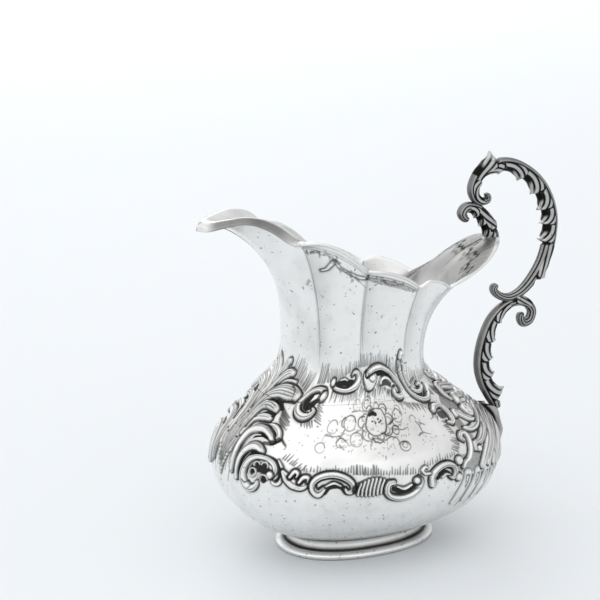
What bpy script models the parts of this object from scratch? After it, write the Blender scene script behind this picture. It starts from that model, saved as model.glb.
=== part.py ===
"""Silver cream jug: an oval bellied bowl, a panelled neck with a long spout, an
oval foot and a cast scroll handle, each piece as its own closed solid.

Frame: +Z up, the rest plane at z = 0, the handle towards +X, the spout towards -X.
The origin is under the middle of the jug's bounding box.
Sizes below are millimetres; MM turns them into metres when a mesh is made.
"""

import math

import bmesh
import bpy
import numpy as np
from mathutils import Vector

MM = 0.001
GAP = 0.3                      # clearance left at every soldered seam
SHEET = 0.9                    # gauge of the silver sheet

# The foot's centre, seen from the middle of the bounding box.
FOOT_X = -12.4

# Foot: an oval bead with a collar above it.
FOOT_LENGTH = 62.0
FOOT_WIDTH = 43.0
FOOT_BEAD_HEIGHT = 2.7
FOOT_BEAD_DEPTH = 3.8
COLLAR_LENGTH = 54.4
COLLAR_WIDTH = 36.6
COLLAR_THICKNESS = 1.1
COLLAR_WAIST = 0.7             # how far the collar's side draws in
OVAL_POWER = 2.2               # 2 is an ellipse, more is squarer

# Bowl sections, bottom to top: height, reach to the front, reach to the rear, half width.
BOWL_BASE_Z = 7.3
BOWL_SECTIONS = (
    (BOWL_BASE_Z, 27.0, 27.0, 18.4),
    (10.5, 36.5, 37.0, 26.5),
    (17.0, 46.0, 48.5, 34.5),
    (25.0, 52.5, 55.0, 39.2),
    (34.0, 55.0, 57.2, 40.5),
    (44.0, 53.0, 53.8, 38.6),
    (53.0, 46.5, 43.5, 32.4),
    (61.5, 37.5, 30.6, 26.6),
)

# Neck: the ring where it meets the bowl, its waist, and the rim's shape.
NECK_BASE_Z = BOWL_SECTIONS[-1][0] + GAP
WAIST_FRONT = 28.0
WAIST_REAR = 25.3
WAIST_HALF_WIDTH = 24.0
WAIST_Z_FRONT = 80.0
WAIST_Z_REAR = 72.0
CREASE_ANGLES = (36.0, 72.0, 108.0, 144.0)   # degrees from the handle, on both sides
CREASE_DEPTH = 1.3
CREASE_WIDTH = 9.0                           # degrees

# Rim: angle from the handle in degrees, x from the foot's centre, half width, height.
# The creases end in the notches at 36, 72, 108 and 144 degrees.
RIM_POINTS = (
    (0.0, 58.5, 0.0, 109.8), (6.0, 56.8, 5.2, 109.8), (12.0, 53.9, 8.8, 108.2), (18.0, 50.6, 10.9, 105.7),
    (24.0, 46.1, 12.4, 102.7), (30.0, 40.1, 13.6, 99.6), (36.0, 31.7, 15.3, 96.5),
    (48.0, 24.6, 19.5, 100.3), (60.0, 18.9, 22.0, 101.8), (72.0, 14.4, 23.5, 100.2),
    (84.0, 7.1, 24.8, 104.6), (96.0, -1.0, 25.4, 107.6), (108.0, -7.9, 25.0, 108.4),
    (120.0, -15.6, 23.5, 115.1), (132.0, -23.8, 21.0, 119.0), (144.0, -33.2, 17.0, 119.6),
    (150.0, -37.8, 14.0, 124.1), (156.0, -43.0, 11.2, 126.8), (162.0, -48.9, 9.2, 127.8),
    (168.0, -54.0, 7.2, 127.6), (174.0, -58.2, 4.4, 127.0), (180.0, -60.0, 0.0, 126.8),
)
RIM_WIRE_RADIUS = 0.65
RIM_WIRE_GAP = 0.5              # wider than the other seams, so that the notches stay clear

# Handle centrelines in the mirror plane: x from the foot's centre, height, half depth.
RIM_SCROLL = ((46.6, 121.2, 1.5), (49.8, 121.3, 1.7), (53.4, 118.7, 2.0), (56.4, 115.2, 2.4),
              (58.2, 112.3, 2.7))
UPPER_SCROLL = ((52.4, 125.7, 1.7), (49.7, 130.2, 2.3), (52.2, 135.8, 2.4), (58.6, 138.0, 2.6),
                (65.2, 137.4, 2.7), (72.0, 133.9, 2.9), (77.3, 129.0, 3.0), (81.1, 122.6, 3.1),
                (83.0, 116.0, 3.2), (83.0, 110.0, 3.2), (81.9, 103.5, 3.0), (79.8, 97.5, 2.7),
                (75.2, 91.4, 2.2), (70.2, 88.2, 1.8), (65.4, 87.3, 1.6), (61.6, 88.0, 1.4))
LOWER_SCROLL = ((71.8, 76.6, 1.2), (75.6, 78.2, 1.4), (75.4, 81.8, 1.6), (71.4, 83.4, 1.7),
                (66.8, 83.1, 1.9), (62.4, 81.4, 2.4), (58.6, 77.6, 2.8), (56.0, 72.4, 3.1),
                (54.5, 66.0, 3.3), (54.4, 60.0, 3.2), (56.0, 54.4, 3.0), (58.6, 49.6, 3.0),
                (60.0, 46.0, 3.1))
SCROLL_HALF_WIDTH = 2.7

# Leaf plate that carries the handle on the belly.
PLATE_TOP_Z = 43.8
PLATE_BOTTOM_Z = 20.0
PLATE_HALF_WIDTH = 9.0
PLATE_TOP_THICKNESS = 8.6
PLATE_THICKNESS = 3.4

SILVER = (0.80, 0.80, 0.79, 1.0)
SHADED_SILVER = (0.70, 0.70, 0.69, 1.0)
CAST_SILVER = (0.52, 0.52, 0.51, 1.0)


# ---------------------------------------------------------------- curves and sections

def spline(points, t):
    """Value at t in 0..1 of a smooth curve through the points (Catmull-Rom)."""
    count = len(points) - 1
    index = min(int(t * count), count - 1)
    local = t * count - index
    rows = [np.array(points[min(max(index + step, 0), count)], float) for step in (-1, 0, 1, 2)]
    before, start, end, after = rows
    return 0.5 * ((2 * start) + (end - before) * local
                  + (2 * before - 5 * start + 4 * end - after) * local ** 2
                  + (3 * start - before - 3 * end + after) * local ** 3)


def superellipse(angle, power=OVAL_POWER):
    """Unit oval at an angle in radians, as (along x, along y)."""
    cosine, sine = math.cos(angle), math.sin(angle)
    return (math.copysign(abs(cosine) ** (2 / power), cosine),
            math.copysign(abs(sine) ** (2 / power), sine))


def section_point(front, rear, half_width, angle):
    """Point of an oval that reaches further one way than the other."""
    x, y = superellipse(angle)
    return x * (rear if x > 0 else front), y * half_width


def rim_point(angle):
    """Rim at an angle in radians: x, y, z, with its notches kept sharp."""
    degrees = abs(math.degrees(angle + math.pi) % 360.0 - 180.0)
    for first, last in zip((0.0,) + CREASE_ANGLES, CREASE_ANGLES + (180.0,)):
        if degrees <= last + 1e-6:
            break
    arch = [point for point in RIM_POINTS if first - 1e-6 <= point[0] <= last + 1e-6]
    _, x, half_width, z = spline(arch, (degrees - first) / (last - first))
    side = 1.0 if math.sin(angle) >= 0 else -1.0
    return np.array((x, side * half_width, z))


def crease(angle):
    """How deep the neck is creased at an angle: 1 in a crease, 0 far from it."""
    degrees = abs(math.degrees(angle + math.pi) % 360.0 - 180.0)
    nearest = min(abs(degrees - line) for line in CREASE_ANGLES)
    return math.exp(-nearest / CREASE_WIDTH * 1.6)


def neck_point(angle, t):
    """Outer surface of the neck; t runs from the bowl at 0 to the rim at 1."""
    towards_rear = 0.5 + 0.5 * math.cos(angle)
    base_x, base_y = section_point(*BOWL_SECTIONS[-1][1:], angle)
    base = np.array((base_x, base_y, NECK_BASE_Z))
    waist_x, waist_y = section_point(WAIST_FRONT, WAIST_REAR, WAIST_HALF_WIDTH, angle)
    waist_z = WAIST_Z_FRONT + (WAIST_Z_REAR - WAIST_Z_FRONT) * towards_rear
    waist = np.array((waist_x, waist_y, waist_z))
    rim = rim_point(angle)
    shoulder_end = 0.25
    if t < shoulder_end:
        part = t / shoulder_end
        point = (1 - part) ** 2 * base + part ** 2 * waist
        point += 2 * part * (1 - part) * np.array((waist_x, waist_y, 0.65 * NECK_BASE_Z + 0.35 * waist_z))
    else:
        part = (t - shoulder_end) / (1 - shoulder_end)
        rise = rim[2] - waist_z
        to_front, to_rear = (1 - towards_rear) ** 3, towards_rear ** 3
        outward = 0.42 + 0.28 * to_front - 0.28 * to_rear
        drop = 0.36 - 0.22 * to_front + 0.15 * to_rear
        lower = waist + np.array((0, 0, 0.52 * rise))
        upper = rim - outward * np.array((rim[0] - waist_x, rim[1] - waist_y, 0)) - np.array((0, 0, drop * rise))
        point = ((1 - part) ** 3 * waist + 3 * part * (1 - part) ** 2 * lower
                 + 3 * part ** 2 * (1 - part) * upper + part ** 3 * rim)
    depth = CREASE_DEPTH * crease(angle) * min(1.0, t / shoulder_end) * (1.0 if t < 0.9 else (1.0 - t) * 10.0)
    radius = math.hypot(point[0], point[1])
    point[:2] *= 1.0 - depth / radius
    return point


def bowl_point(angle, t):
    """Outer surface of the bowl; t runs from the base ring at 0 to the top at 1."""
    height, front, rear, half_width = spline(BOWL_SECTIONS, t)
    x, y = section_point(front, rear, half_width, angle)
    return np.array((x, y, height))


# ---------------------------------------------------------------- mesh helpers

def material(name, colour, roughness):
    """A metal with the piece's colour."""
    result = bpy.data.materials.new(name)
    result.use_nodes = True
    shader = result.node_tree.nodes["Principled BSDF"]
    shader.inputs["Base Color"].default_value = colour
    shader.inputs["Metallic"].default_value = 1.0
    shader.inputs["Roughness"].default_value = roughness
    return result


def add_object(name, mesh_builder, surface):
    """Turn a bmesh in millimetres about the foot into a named object in metres."""
    bmesh.ops.translate(mesh_builder, verts=mesh_builder.verts, vec=(FOOT_X, 0.0, 0.0))
    bmesh.ops.scale(mesh_builder, verts=mesh_builder.verts, vec=(MM, MM, MM))
    bmesh.ops.recalc_face_normals(mesh_builder, faces=mesh_builder.faces)
    mesh = bpy.data.meshes.new(name)
    mesh_builder.to_mesh(mesh)
    mesh_builder.free()
    mesh.materials.append(surface)
    result = bpy.data.objects.new(name, mesh)
    bpy.context.scene.collection.objects.link(result)
    return result


def grid_normals(grid):
    """Outward unit normals of a grid of rings, shape (rings, around, 3)."""
    around = np.roll(grid, -1, axis=1) - np.roll(grid, 1, axis=1)
    upward = np.gradient(grid, axis=0)
    normals = np.cross(around, upward)
    return normals / np.linalg.norm(normals, axis=2, keepdims=True)


def add_ring(builder, points):
    """Add one ring of vertices."""
    return [builder.verts.new(Vector(point)) for point in points]


def join_rings(builder, lower, upper):
    """Quads between two rings with the same count."""
    count = len(lower)
    for index in range(count):
        following = (index + 1) % count
        builder.faces.new((lower[index], lower[following], upper[following], upper[index]))


def shell(outer, thickness):
    """A closed tube wall: the outer grid and the same grid moved inwards."""
    builder = bmesh.new()
    inner = outer - thickness * grid_normals(outer)
    outer_rings = [add_ring(builder, ring) for ring in outer]
    inner_rings = [add_ring(builder, ring) for ring in inner]
    for lower, upper in zip(outer_rings, outer_rings[1:]):
        join_rings(builder, lower, upper)
    for lower, upper in zip(inner_rings, inner_rings[1:]):
        join_rings(builder, upper, lower)
    join_rings(builder, outer_rings[-1], inner_rings[-1])
    return builder, outer_rings[0], inner_rings[0]


def sweep(centreline, half_width, samples, sides=10):
    """A closed bar along a line in the mirror plane, oval in section.

    Each centreline point is x, z and the half depth in the plane.
    """
    builder = bmesh.new()
    points = [spline(centreline, step / samples) for step in range(samples + 1)]
    rings = []
    for step, (x, z, depth) in enumerate(points):
        before, after = points[max(step - 1, 0)], points[min(step + 1, samples)]
        tangent = Vector((after[0] - before[0], 0.0, after[1] - before[1])).normalized()
        across = Vector((tangent.z, 0.0, -tangent.x))
        ring = []
        for side in range(sides):
            angle = math.tau * side / sides
            offset = across * (depth * math.cos(angle)) + Vector((0, half_width * math.sin(angle), 0))
            ring.append(Vector((x, 0.0, z)) + offset)
        rings.append(add_ring(builder, ring))
    for lower, upper in zip(rings, rings[1:]):
        join_rings(builder, lower, upper)
    builder.faces.new(rings[0])
    builder.faces.new(rings[-1])
    return builder


def knob(x, z, radius, half_width):
    """A rounded boss in the mirror plane."""
    builder = bmesh.new()
    bmesh.ops.create_uvsphere(builder, u_segments=12, v_segments=8, radius=1.0)
    bmesh.ops.scale(builder, verts=builder.verts, vec=(radius, half_width, radius))
    bmesh.ops.translate(builder, verts=builder.verts, vec=(x, 0.0, z))
    return builder


def leaf(root, tip, half_width, half_depth):
    """A pointed leaf in the mirror plane, from its root to its tip."""
    start, end = Vector((root[0], 0.0, root[1])), Vector((tip[0], 0.0, tip[1]))
    along = (end - start).normalized()
    across = Vector((along.z, 0.0, -along.x))
    builder = bmesh.new()
    rings = []
    for part, size in ((0.0, 1.0), (0.5, 0.85), (1.0, 0.25)):
        centre = start.lerp(end, part)
        corners = ((1, 0), (0, 1), (-1, 0), (0, -1))
        rings.append(add_ring(builder, [centre + across * (half_depth * size * a) + Vector((0, half_width * size * b, 0))
                                        for a, b in corners]))
    for lower, upper in zip(rings, rings[1:]):
        join_rings(builder, lower, upper)
    builder.faces.new(rings[0])
    builder.faces.new(rings[-1])
    return builder


def fuse(target, additions):
    """Cast pieces are one solid: join the additions to the target and keep the result."""
    helpers = []
    for number, addition in enumerate(additions):
        helper = add_object(f"{target.name}_addition_{number}", addition, target.data.materials[0])
        union = target.modifiers.new(f"union_{number}", "BOOLEAN")
        union.operation = "UNION"
        union.object = helper
        helpers.append(helper)
    bpy.context.view_layer.update()
    evaluated = target.evaluated_get(bpy.context.evaluated_depsgraph_get())
    joined = bpy.data.meshes.new_from_object(evaluated)
    target.modifiers.clear()
    target.data = joined
    for helper in helpers:
        bpy.data.objects.remove(helper)
    return target


def oval_ring(length, width, profile, around=64):
    """A ring on the foot's oval; the profile is (outward offset, height) pairs."""
    builder = bmesh.new()
    rings = []
    for offset, height in profile:
        ring = []
        for step in range(around):
            x, y = superellipse(math.tau * step / around)
            ring.append(((length / 2 + offset) * x, (width / 2 + offset) * y, height))
        rings.append(add_ring(builder, ring))
    for lower, upper in zip(rings, rings[1:] + rings[:1]):
        join_rings(builder, lower, upper)
    return builder


# ---------------------------------------------------------------- the pieces

def build_foot_bead(surface):
    """The rounded edge that the jug stands on, flat underneath."""
    depth, height = FOOT_BEAD_DEPTH, FOOT_BEAD_HEIGHT
    profile = ((-depth, 0.0), (-0.8, 0.0), (-0.2, 0.5), (0.0, 1.2), (-0.3, 2.0), (-1.1, height), (-depth, height))
    return add_object("foot_bead", oval_ring(FOOT_LENGTH, FOOT_WIDTH, profile), surface)


def build_foot_collar(surface):
    """The short drawn-in wall between the bead and the bowl."""
    low, high = FOOT_BEAD_HEIGHT + GAP, BOWL_BASE_Z - GAP
    middle = (low + high) / 2
    outer = ((0.0, low), (-COLLAR_WAIST, middle), (-0.2, high))
    inner = tuple((offset - COLLAR_THICKNESS, height) for offset, height in reversed(outer))
    return add_object("foot_collar", oval_ring(COLLAR_LENGTH, COLLAR_WIDTH, outer + inner), surface)


def build_bowl(surface, around=64, levels=14):
    """The chased belly with its base, one raised sheet."""
    outer = np.array([[bowl_point(math.tau * step / around, level / levels) for step in range(around)]
                      for level in range(levels + 1)])
    builder, outer_base, inner_base = shell(outer, SHEET)
    for ring, rise in ((outer_base, 0.0), (inner_base, SHEET)):
        for vertex in ring:
            vertex.co.z = BOWL_BASE_Z + rise
        centre = builder.verts.new(Vector((0.0, 0.0, BOWL_BASE_Z + rise)))
        for index, vertex in enumerate(ring):
            builder.faces.new((vertex, ring[(index + 1) % around], centre))
    return add_object("bowl", builder, surface)


def build_neck(surface, around=80, levels=13):
    """The panelled neck with the spout, open at both ends."""
    outer = np.array([[neck_point(math.tau * step / around, level / levels) for step in range(around)]
                      for level in range(levels + 1)])
    builder, outer_base, inner_base = shell(outer, SHEET)
    for vertex in inner_base:
        vertex.co.z = NECK_BASE_Z
    join_rings(builder, inner_base, outer_base)
    return add_object("neck_and_spout", builder, surface)


def build_rim_wire(surface, around=120, sides=6):
    """The wire along the neck's edge."""
    builder = bmesh.new()
    rings = []
    for step in range(around):
        angle = math.tau * step / around
        edge, below = neck_point(angle, 1.0), neck_point(angle, 0.96)
        along = Vector(edge - below).normalized()
        tangent = Vector(neck_point(angle + 0.03, 1.0) - neck_point(angle - 0.03, 1.0)).normalized()
        inward = tangent.cross(along).normalized()
        if inward.xy.dot(Vector(edge).xy) > 0:
            inward.negate()
        centre = Vector(edge) + inward * (SHEET / 2) + along * (RIM_WIRE_RADIUS + RIM_WIRE_GAP)
        outward = tangent.cross(inward).normalized()
        rings.append(add_ring(builder, [
            centre + inward * (RIM_WIRE_RADIUS * math.cos(math.tau * side / sides))
            + outward * (RIM_WIRE_RADIUS * math.sin(math.tau * side / sides)) for side in range(sides)]))
    for lower, upper in zip(rings, rings[1:] + rings[:1]):
        join_rings(builder, lower, upper)
    return add_object("rim_wire", builder, surface)


def build_rim_scroll(surface):
    """The small scroll that ties the handle to the rim."""
    bar = add_object("handle_rim_scroll", sweep(RIM_SCROLL, SCROLL_HALF_WIDTH, 14), surface)
    return fuse(bar, [knob(45.9, 121.2, 2.0, SCROLL_HALF_WIDTH + 0.3)])


def build_upper_scroll(surface):
    """The main loop of the handle, with its thumb leaf and end curls."""
    bar = add_object("handle_upper_scroll", sweep(UPPER_SCROLL, SCROLL_HALF_WIDTH, 44), surface)
    additions = [
        knob(60.0, 88.9, 1.9, SCROLL_HALF_WIDTH + 0.3),
        knob(54.6, 127.4, 1.6, SCROLL_HALF_WIDTH + 0.3),
        leaf((58.4, 138.6), (56.4, 143.1), 2.2, 1.6),
        leaf((80.6, 94.6), (79.2, 88.6), 1.8, 1.2),
    ]
    return fuse(bar, additions)


def build_lower_scroll(surface):
    """The lower loop of the handle, from its volute down to the belly."""
    bar = add_object("handle_lower_scroll", sweep(LOWER_SCROLL, SCROLL_HALF_WIDTH, 38), surface)
    additions = [
        knob(71.6, 78.2, 2.1, SCROLL_HALF_WIDTH + 0.3),
        leaf((62.0, 81.0), (57.4, 83.2), 1.8, 1.3),
    ]
    return fuse(bar, additions)


def build_belly_leaf(surface, levels=12, across=10):
    """The leaf-shaped plate that holds the handle's foot against the belly."""
    builder = bmesh.new()
    heights = [spline(BOWL_SECTIONS, step / 200)[0] for step in range(201)]
    back, front = [], []
    for level in range(levels + 1):
        down = level / levels
        height = PLATE_TOP_Z + (PLATE_BOTTOM_Z - PLATE_TOP_Z) * down
        t = float(np.interp(height, heights, np.linspace(0, 1, 201)))
        half_width = PLATE_HALF_WIDTH * (0.55 + 0.45 * math.sin(math.pi * min(down * 1.6, 1.0))) * (1 - 0.75 * down ** 3)
        thickness = PLATE_THICKNESS + (PLATE_TOP_THICKNESS - PLATE_THICKNESS) * max(0.0, 1 - 3 * down) ** 1.5
        thickness *= 1 - 0.6 * down ** 4
        back_row, front_row = [], []
        for step in range(across + 1):
            part = 2 * step / across - 1
            y = part * half_width
            _, front_reach, rear_reach, bowl_half = spline(BOWL_SECTIONS, t)
            x = rear_reach * (1 - abs(y / bowl_half) ** OVAL_POWER) ** (1 / OVAL_POWER)
            back_row.append((x + GAP + 0.25, y, height))
            front_row.append((x + GAP + 0.25 + max(0.5, thickness * (1 - part ** 2) ** 0.5), y, height))
        back.append(add_ring(builder, back_row))
        front.append(add_ring(builder, front_row))
    for rows, flip in ((back, False), (front, True)):
        for lower, upper in zip(rows, rows[1:]):
            for step in range(across):
                corners = (lower[step], lower[step + 1], upper[step + 1], upper[step])
                builder.faces.new(corners[::-1] if flip else corners)
    for level in range(levels):
        for step in (0, across):
            builder.faces.new((back[level][step], back[level + 1][step], front[level + 1][step], front[level][step]))
    for level in (0, levels):
        for step in range(across):
            builder.faces.new((back[level][step], back[level][step + 1], front[level][step + 1], front[level][step]))
    return add_object("handle_belly_leaf", builder, surface)


def main():
    """Clear the scene and build every piece."""
    for existing in list(bpy.data.objects):
        bpy.data.objects.remove(existing)
    build_foot_bead(material("foot_bead", SILVER, 0.25))
    build_foot_collar(material("foot_collar", SHADED_SILVER, 0.35))
    build_bowl(material("bowl", SILVER, 0.30))
    build_neck(material("neck_and_spout", SILVER, 0.22))
    build_rim_wire(material("rim_wire", SILVER, 0.22))
    build_rim_scroll(material("handle_rim_scroll", CAST_SILVER, 0.40))
    build_upper_scroll(material("handle_upper_scroll", CAST_SILVER, 0.40))
    build_lower_scroll(material("handle_lower_scroll", CAST_SILVER, 0.40))
    build_belly_leaf(material("handle_belly_leaf", CAST_SILVER, 0.42))


main()
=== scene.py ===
"""The looks of a silver cream jug: chased bowl, panelled neck, rolled spout, oval foot and cast handle.

Frame: +Z up, the rest plane at z = 0, handle towards +X, spout towards -X, mirror plane y = 0.
Sizes in the classes are millimetres about the foot's centre; MM turns them into metres.
"""

import logging
import math
from collections.abc import Callable, Sequence
from dataclasses import dataclass, field
from enum import Enum

import bmesh
import bpy
import numpy as np
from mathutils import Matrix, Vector


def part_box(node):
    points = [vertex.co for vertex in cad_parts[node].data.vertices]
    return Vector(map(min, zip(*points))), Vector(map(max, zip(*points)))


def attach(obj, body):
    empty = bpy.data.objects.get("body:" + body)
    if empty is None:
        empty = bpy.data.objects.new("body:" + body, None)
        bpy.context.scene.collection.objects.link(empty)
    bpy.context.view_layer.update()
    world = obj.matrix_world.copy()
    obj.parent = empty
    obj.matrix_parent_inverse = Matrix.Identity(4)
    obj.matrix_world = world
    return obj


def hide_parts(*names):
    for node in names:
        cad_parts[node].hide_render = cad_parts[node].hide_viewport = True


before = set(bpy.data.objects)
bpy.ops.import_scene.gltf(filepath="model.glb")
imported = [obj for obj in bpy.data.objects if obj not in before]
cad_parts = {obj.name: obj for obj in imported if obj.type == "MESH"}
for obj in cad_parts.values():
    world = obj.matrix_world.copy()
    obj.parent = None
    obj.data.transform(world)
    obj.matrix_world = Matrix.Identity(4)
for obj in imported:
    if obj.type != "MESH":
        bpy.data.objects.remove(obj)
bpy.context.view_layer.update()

MM = 0.001
SHEET = 0.9                     # thickness of the raised sheet
INSIDE_GAP = 0.35               # extra room between the chased skin and the bowl's inner wall
PLAIN_CLIMB = 17.0              # climb up to which the bowl stays plain
RIM_DROP = 44.0                 # millimetres of drop that the neck's whole rise stands for
MERGE_REACH = 2e-6              # metres within which two rims of a grid become one
GRAIN_SEED = 3
BELLY_SEED = 4
BORDER_SEED = 11
LOG = logging.getLogger("cream_jug")

Array = np.ndarray
Point = tuple[float, float]
Socket = bpy.types.NodeSocket
Mapping = Callable[[Array, Array], tuple[Array, Array]]


class Side(Enum):
    """The two mirrored sides of the jug, by the sign of y."""

    NEAR = -1
    FAR = 1


class LeafEdge(Enum):
    """The edge of a handle bar that a leaf grows from."""

    INNER = "inner"
    OUTER = "outer"


INNER, OUTER = LeafEdge.INNER, LeafEdge.OUTER


# ------------------------------------------------------------------ curves

def smooth_curve(points: Sequence[Sequence[float]], samples: int) -> Array:
    """Sample a smooth curve that passes through every point.

    Args:
        points: the curve's points, each with any number of coordinates.
        samples: how many equal steps to take.

    Returns:
        One row for each sample, ends included.
    """
    knots = np.asarray(points, float)
    padded = np.vstack([2 * knots[0] - knots[1], knots, 2 * knots[-1] - knots[-2]])
    place = np.linspace(0, len(knots) - 1, samples + 1)
    index = np.minimum(place.astype(int), len(knots) - 2)
    local = (place - index)[:, None]
    before, start, end, after = (padded[index + step] for step in range(4))
    return 0.5 * (2 * start + (end - before) * local
                  + (2 * before - 5 * start + 4 * end - after) * local ** 2
                  + (3 * start - before - 3 * end + after) * local ** 3)


def smooth_step(value: Array, low: float, high: float) -> Array:
    """Rise from 0 at low to 1 at high with soft ends."""
    part = np.clip((value - low) / (high - low), 0, 1)
    return part * part * (3 - 2 * part)


def unit(vectors: Array) -> Array:
    """Scale each row vector to length one."""
    return vectors / np.maximum(np.linalg.norm(vectors, axis=-1, keepdims=True), 1e-9)


def off_zero(angle: Array) -> Array:
    """How far an angle in radians lies from zero, taken the shorter way round."""
    return np.abs((angle + math.pi) % math.tau - math.pi)


def oval(angle: Array, power: float = 2.2) -> tuple[Array, Array]:
    """Unit oval, a little squarer than an ellipse, at angles in radians."""
    cosine, sine = np.cos(angle), np.sin(angle)
    return (np.sign(cosine) * np.abs(cosine) ** (2 / power),
            np.sign(sine) * np.abs(sine) ** (2 / power))


# ------------------------------------------------------------------ chased relief

class Relief:
    """Height and darkness of chased work over a flat strip of sheet, both kept on a fine raster."""

    GLOW_REACH = 0.9            # how far a faint darkening goes past a ridge's outline
    BOLD_HEIGHT, BOLD_WIDTH = 1.2, 0.9      # ridges at least this bold get a channel of their own
    BOLD_GROOVE = -0.3

    def __init__(self, width: float, depth: float, cell: float = 0.12) -> None:
        """Start with a plain strip.

        Args:
            width: the strip's length along x, in millimetres.
            depth: its length along y, in millimetres.
            cell: the raster's spacing, in millimetres.
        """
        self.cell = cell
        shape = (int(depth / cell) + 2, int(width / cell) + 2)
        self.height = np.zeros(shape)
        self.shade = np.zeros(shape)
        self.grain = np.random.default_rng(GRAIN_SEED).random(shape)

    def _near(self, points: Array, reach: float) -> tuple:
        """Distance from a line to the raster cells around it.

        Args:
            points: the line's points.
            reach: how far from the line the result has to go.

        Returns:
            The window's slices, the distance, the place along the line from 0 to 1 and the signed side.
        """
        low = np.floor((points.min(0) - reach) / self.cell).astype(int)
        high = np.ceil((points.max(0) + reach) / self.cell).astype(int) + 1
        rows, columns = self.height.shape
        x0, y0 = np.clip(low, 0, [columns, rows])
        x1, y1 = np.clip(high, 0, [columns, rows])
        grid_x, grid_y = np.meshgrid(np.arange(x0, x1) * self.cell, np.arange(y0, y1) * self.cell)
        best = np.full(grid_x.shape, 1e9)
        place = np.zeros(grid_x.shape)
        side = np.zeros(grid_x.shape)
        lengths = np.linalg.norm(np.diff(points, axis=0), axis=1)
        total = max(lengths.sum(), 1e-6)
        done = 0.0
        for start, end, length in zip(points, points[1:], lengths):
            run = (end - start) / max(length, 1e-9)
            along = np.clip((grid_x - start[0]) * run[0] + (grid_y - start[1]) * run[1], 0, length)
            dx = grid_x - start[0] - along * run[0]
            dy = grid_y - start[1] - along * run[1]
            distance = np.hypot(dx, dy)
            closer = distance < best
            best = np.where(closer, distance, best)
            place = np.where(closer, (done + along) / total, place)
            side = np.where(closer, np.sign(run[0] * dy - run[1] * dx), side)
            done += length
        return (slice(y0, y1), slice(x0, x1)), best, place, side

    def ridge(self, points: Sequence[Point], widths: Sequence[float], height: float = 1.0,
              grooves: Sequence[float] = (), groove_width: float = 0.12, halo: float = 0.85,
              halo_shade: float = 1.0, edge_shade: float = 0.25) -> None:
        """Raise a rounded ridge along a line.

        Args:
            points: the line that the ridge follows.
            widths: half widths, spread evenly along the line.
            height: how far the ridge stands up.
            grooves: dark channels along the ridge, from -1 at its right edge to 1 at its left.
            groove_width: each channel's half width, as a share of the ridge's.
            halo: how far the darkened outline reaches past the edge.
            halo_shade: how dark the outline is at the edge.
            edge_shade: how dark the ridge's own edge is.
        """
        line = smooth_curve(points, max(8, 7 * (len(points) - 1))) if len(points) > 1 else np.asarray(
            [points[0], (points[0][0] + 0.01, points[0][1])], float)
        window, distance, place, side = self._near(line, max(widths) + halo + self.GLOW_REACH)
        half = np.interp(place, np.linspace(0, 1, len(widths)), widths)
        across = distance / np.maximum(half, 1e-3)
        inside = across < 1
        around = np.clip(1 - (distance - half) / halo, 0, 1) * ~inside
        fullness = np.minimum(1, half / max(max(widths), 1e-6) + 0.35)
        top = height * fullness * np.sqrt(np.clip(1 - across ** 2.6, 0, 1))
        shade = edge_shade * smooth_step(across, 0.6, 1.0)
        bold = height >= self.BOLD_HEIGHT and max(widths) >= self.BOLD_WIDTH and len(points) > 4
        if bold and not grooves:
            grooves = (self.BOLD_GROOVE,)
        for groove in grooves:
            channel = np.exp(-(((across * side) - groove) / groove_width) ** 2)
            channel = channel * (1 - smooth_step(place, 0.9, 1.0) * 0.7)
            top = top * (1 - 0.4 * channel)
            shade = np.maximum(shade, 0.9 * channel)
        old_height, old_shade = self.height[window], self.shade[window]
        outline = smooth_step(around, 0.05, 0.45)
        glow = np.clip(1 - (distance - half) / (halo + self.GLOW_REACH), 0, 1) ** 2 * ~inside
        outline = np.maximum(outline, 0.5 * glow)
        sunk = old_height * (1 - 0.8 * outline) - 0.3 * outline
        self.height[window] = np.where(inside, np.maximum(top, 0.25 * old_height), sunk)
        self.shade[window] = np.where(inside, shade, np.maximum(old_shade, halo_shade * outline))

    def boss(self, centre: Point, radius: float, height: float = 1.2, halo: float = 0.75) -> None:
        """Raise a round button, as at the eye of a scroll."""
        self.ridge([centre], [radius, radius], height, halo=halo)

    def line(self, points: Sequence[Point], width: float = 0.2, depth: float = 0.12, shade: float = 0.8,
             smooth: bool = True) -> None:
        """Cut a fine line that thins out towards its end.

        Args:
            points: the line's points.
            width: half width at the start.
            depth: how deep it is cut.
            shade: how dark it is.
            smooth: curve the line through its points, and don't join them straight.
        """
        line = smooth_curve(points, 6 * (len(points) - 1)) if smooth else np.asarray(points, float)
        window, distance, place, _ = self._near(line, 3 * width)
        half = width * (1 - 0.6 * place)
        cut = np.exp(-(distance / half) ** 2)
        self.height[window] -= depth * cut
        self.shade[window] = np.maximum(self.shade[window], shade * cut)

    def hatch(self, start: Point, end: Point, count: int, stroke: Point, jitter: float,
              rng: np.random.Generator, width: float, shade: float = 0.95) -> None:
        """Cut a row of short tapering strokes.

        Args:
            start: where the row begins.
            end: where the row ends.
            count: how many strokes.
            stroke: each stroke's run, in x and y.
            jitter: share by which the strokes' lengths vary.
            rng: source of the variation.
            width: half width of a stroke at its root, before the widening that every stroke gets.
            shade: how dark a stroke is.
        """
        widening, depth = 1.25, 0.2
        for number in range(count):
            part = (number + 0.5) / count
            root = np.array(start) * (1 - part) + np.array(end) * part + rng.normal(0, 0.12, 2)
            run = np.array(stroke) * (1 + jitter * rng.uniform(-1, 1)) + rng.normal(0, 0.15, 2)
            self.line([root, root + run], widening * width, depth, shade, smooth=False)

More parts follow.
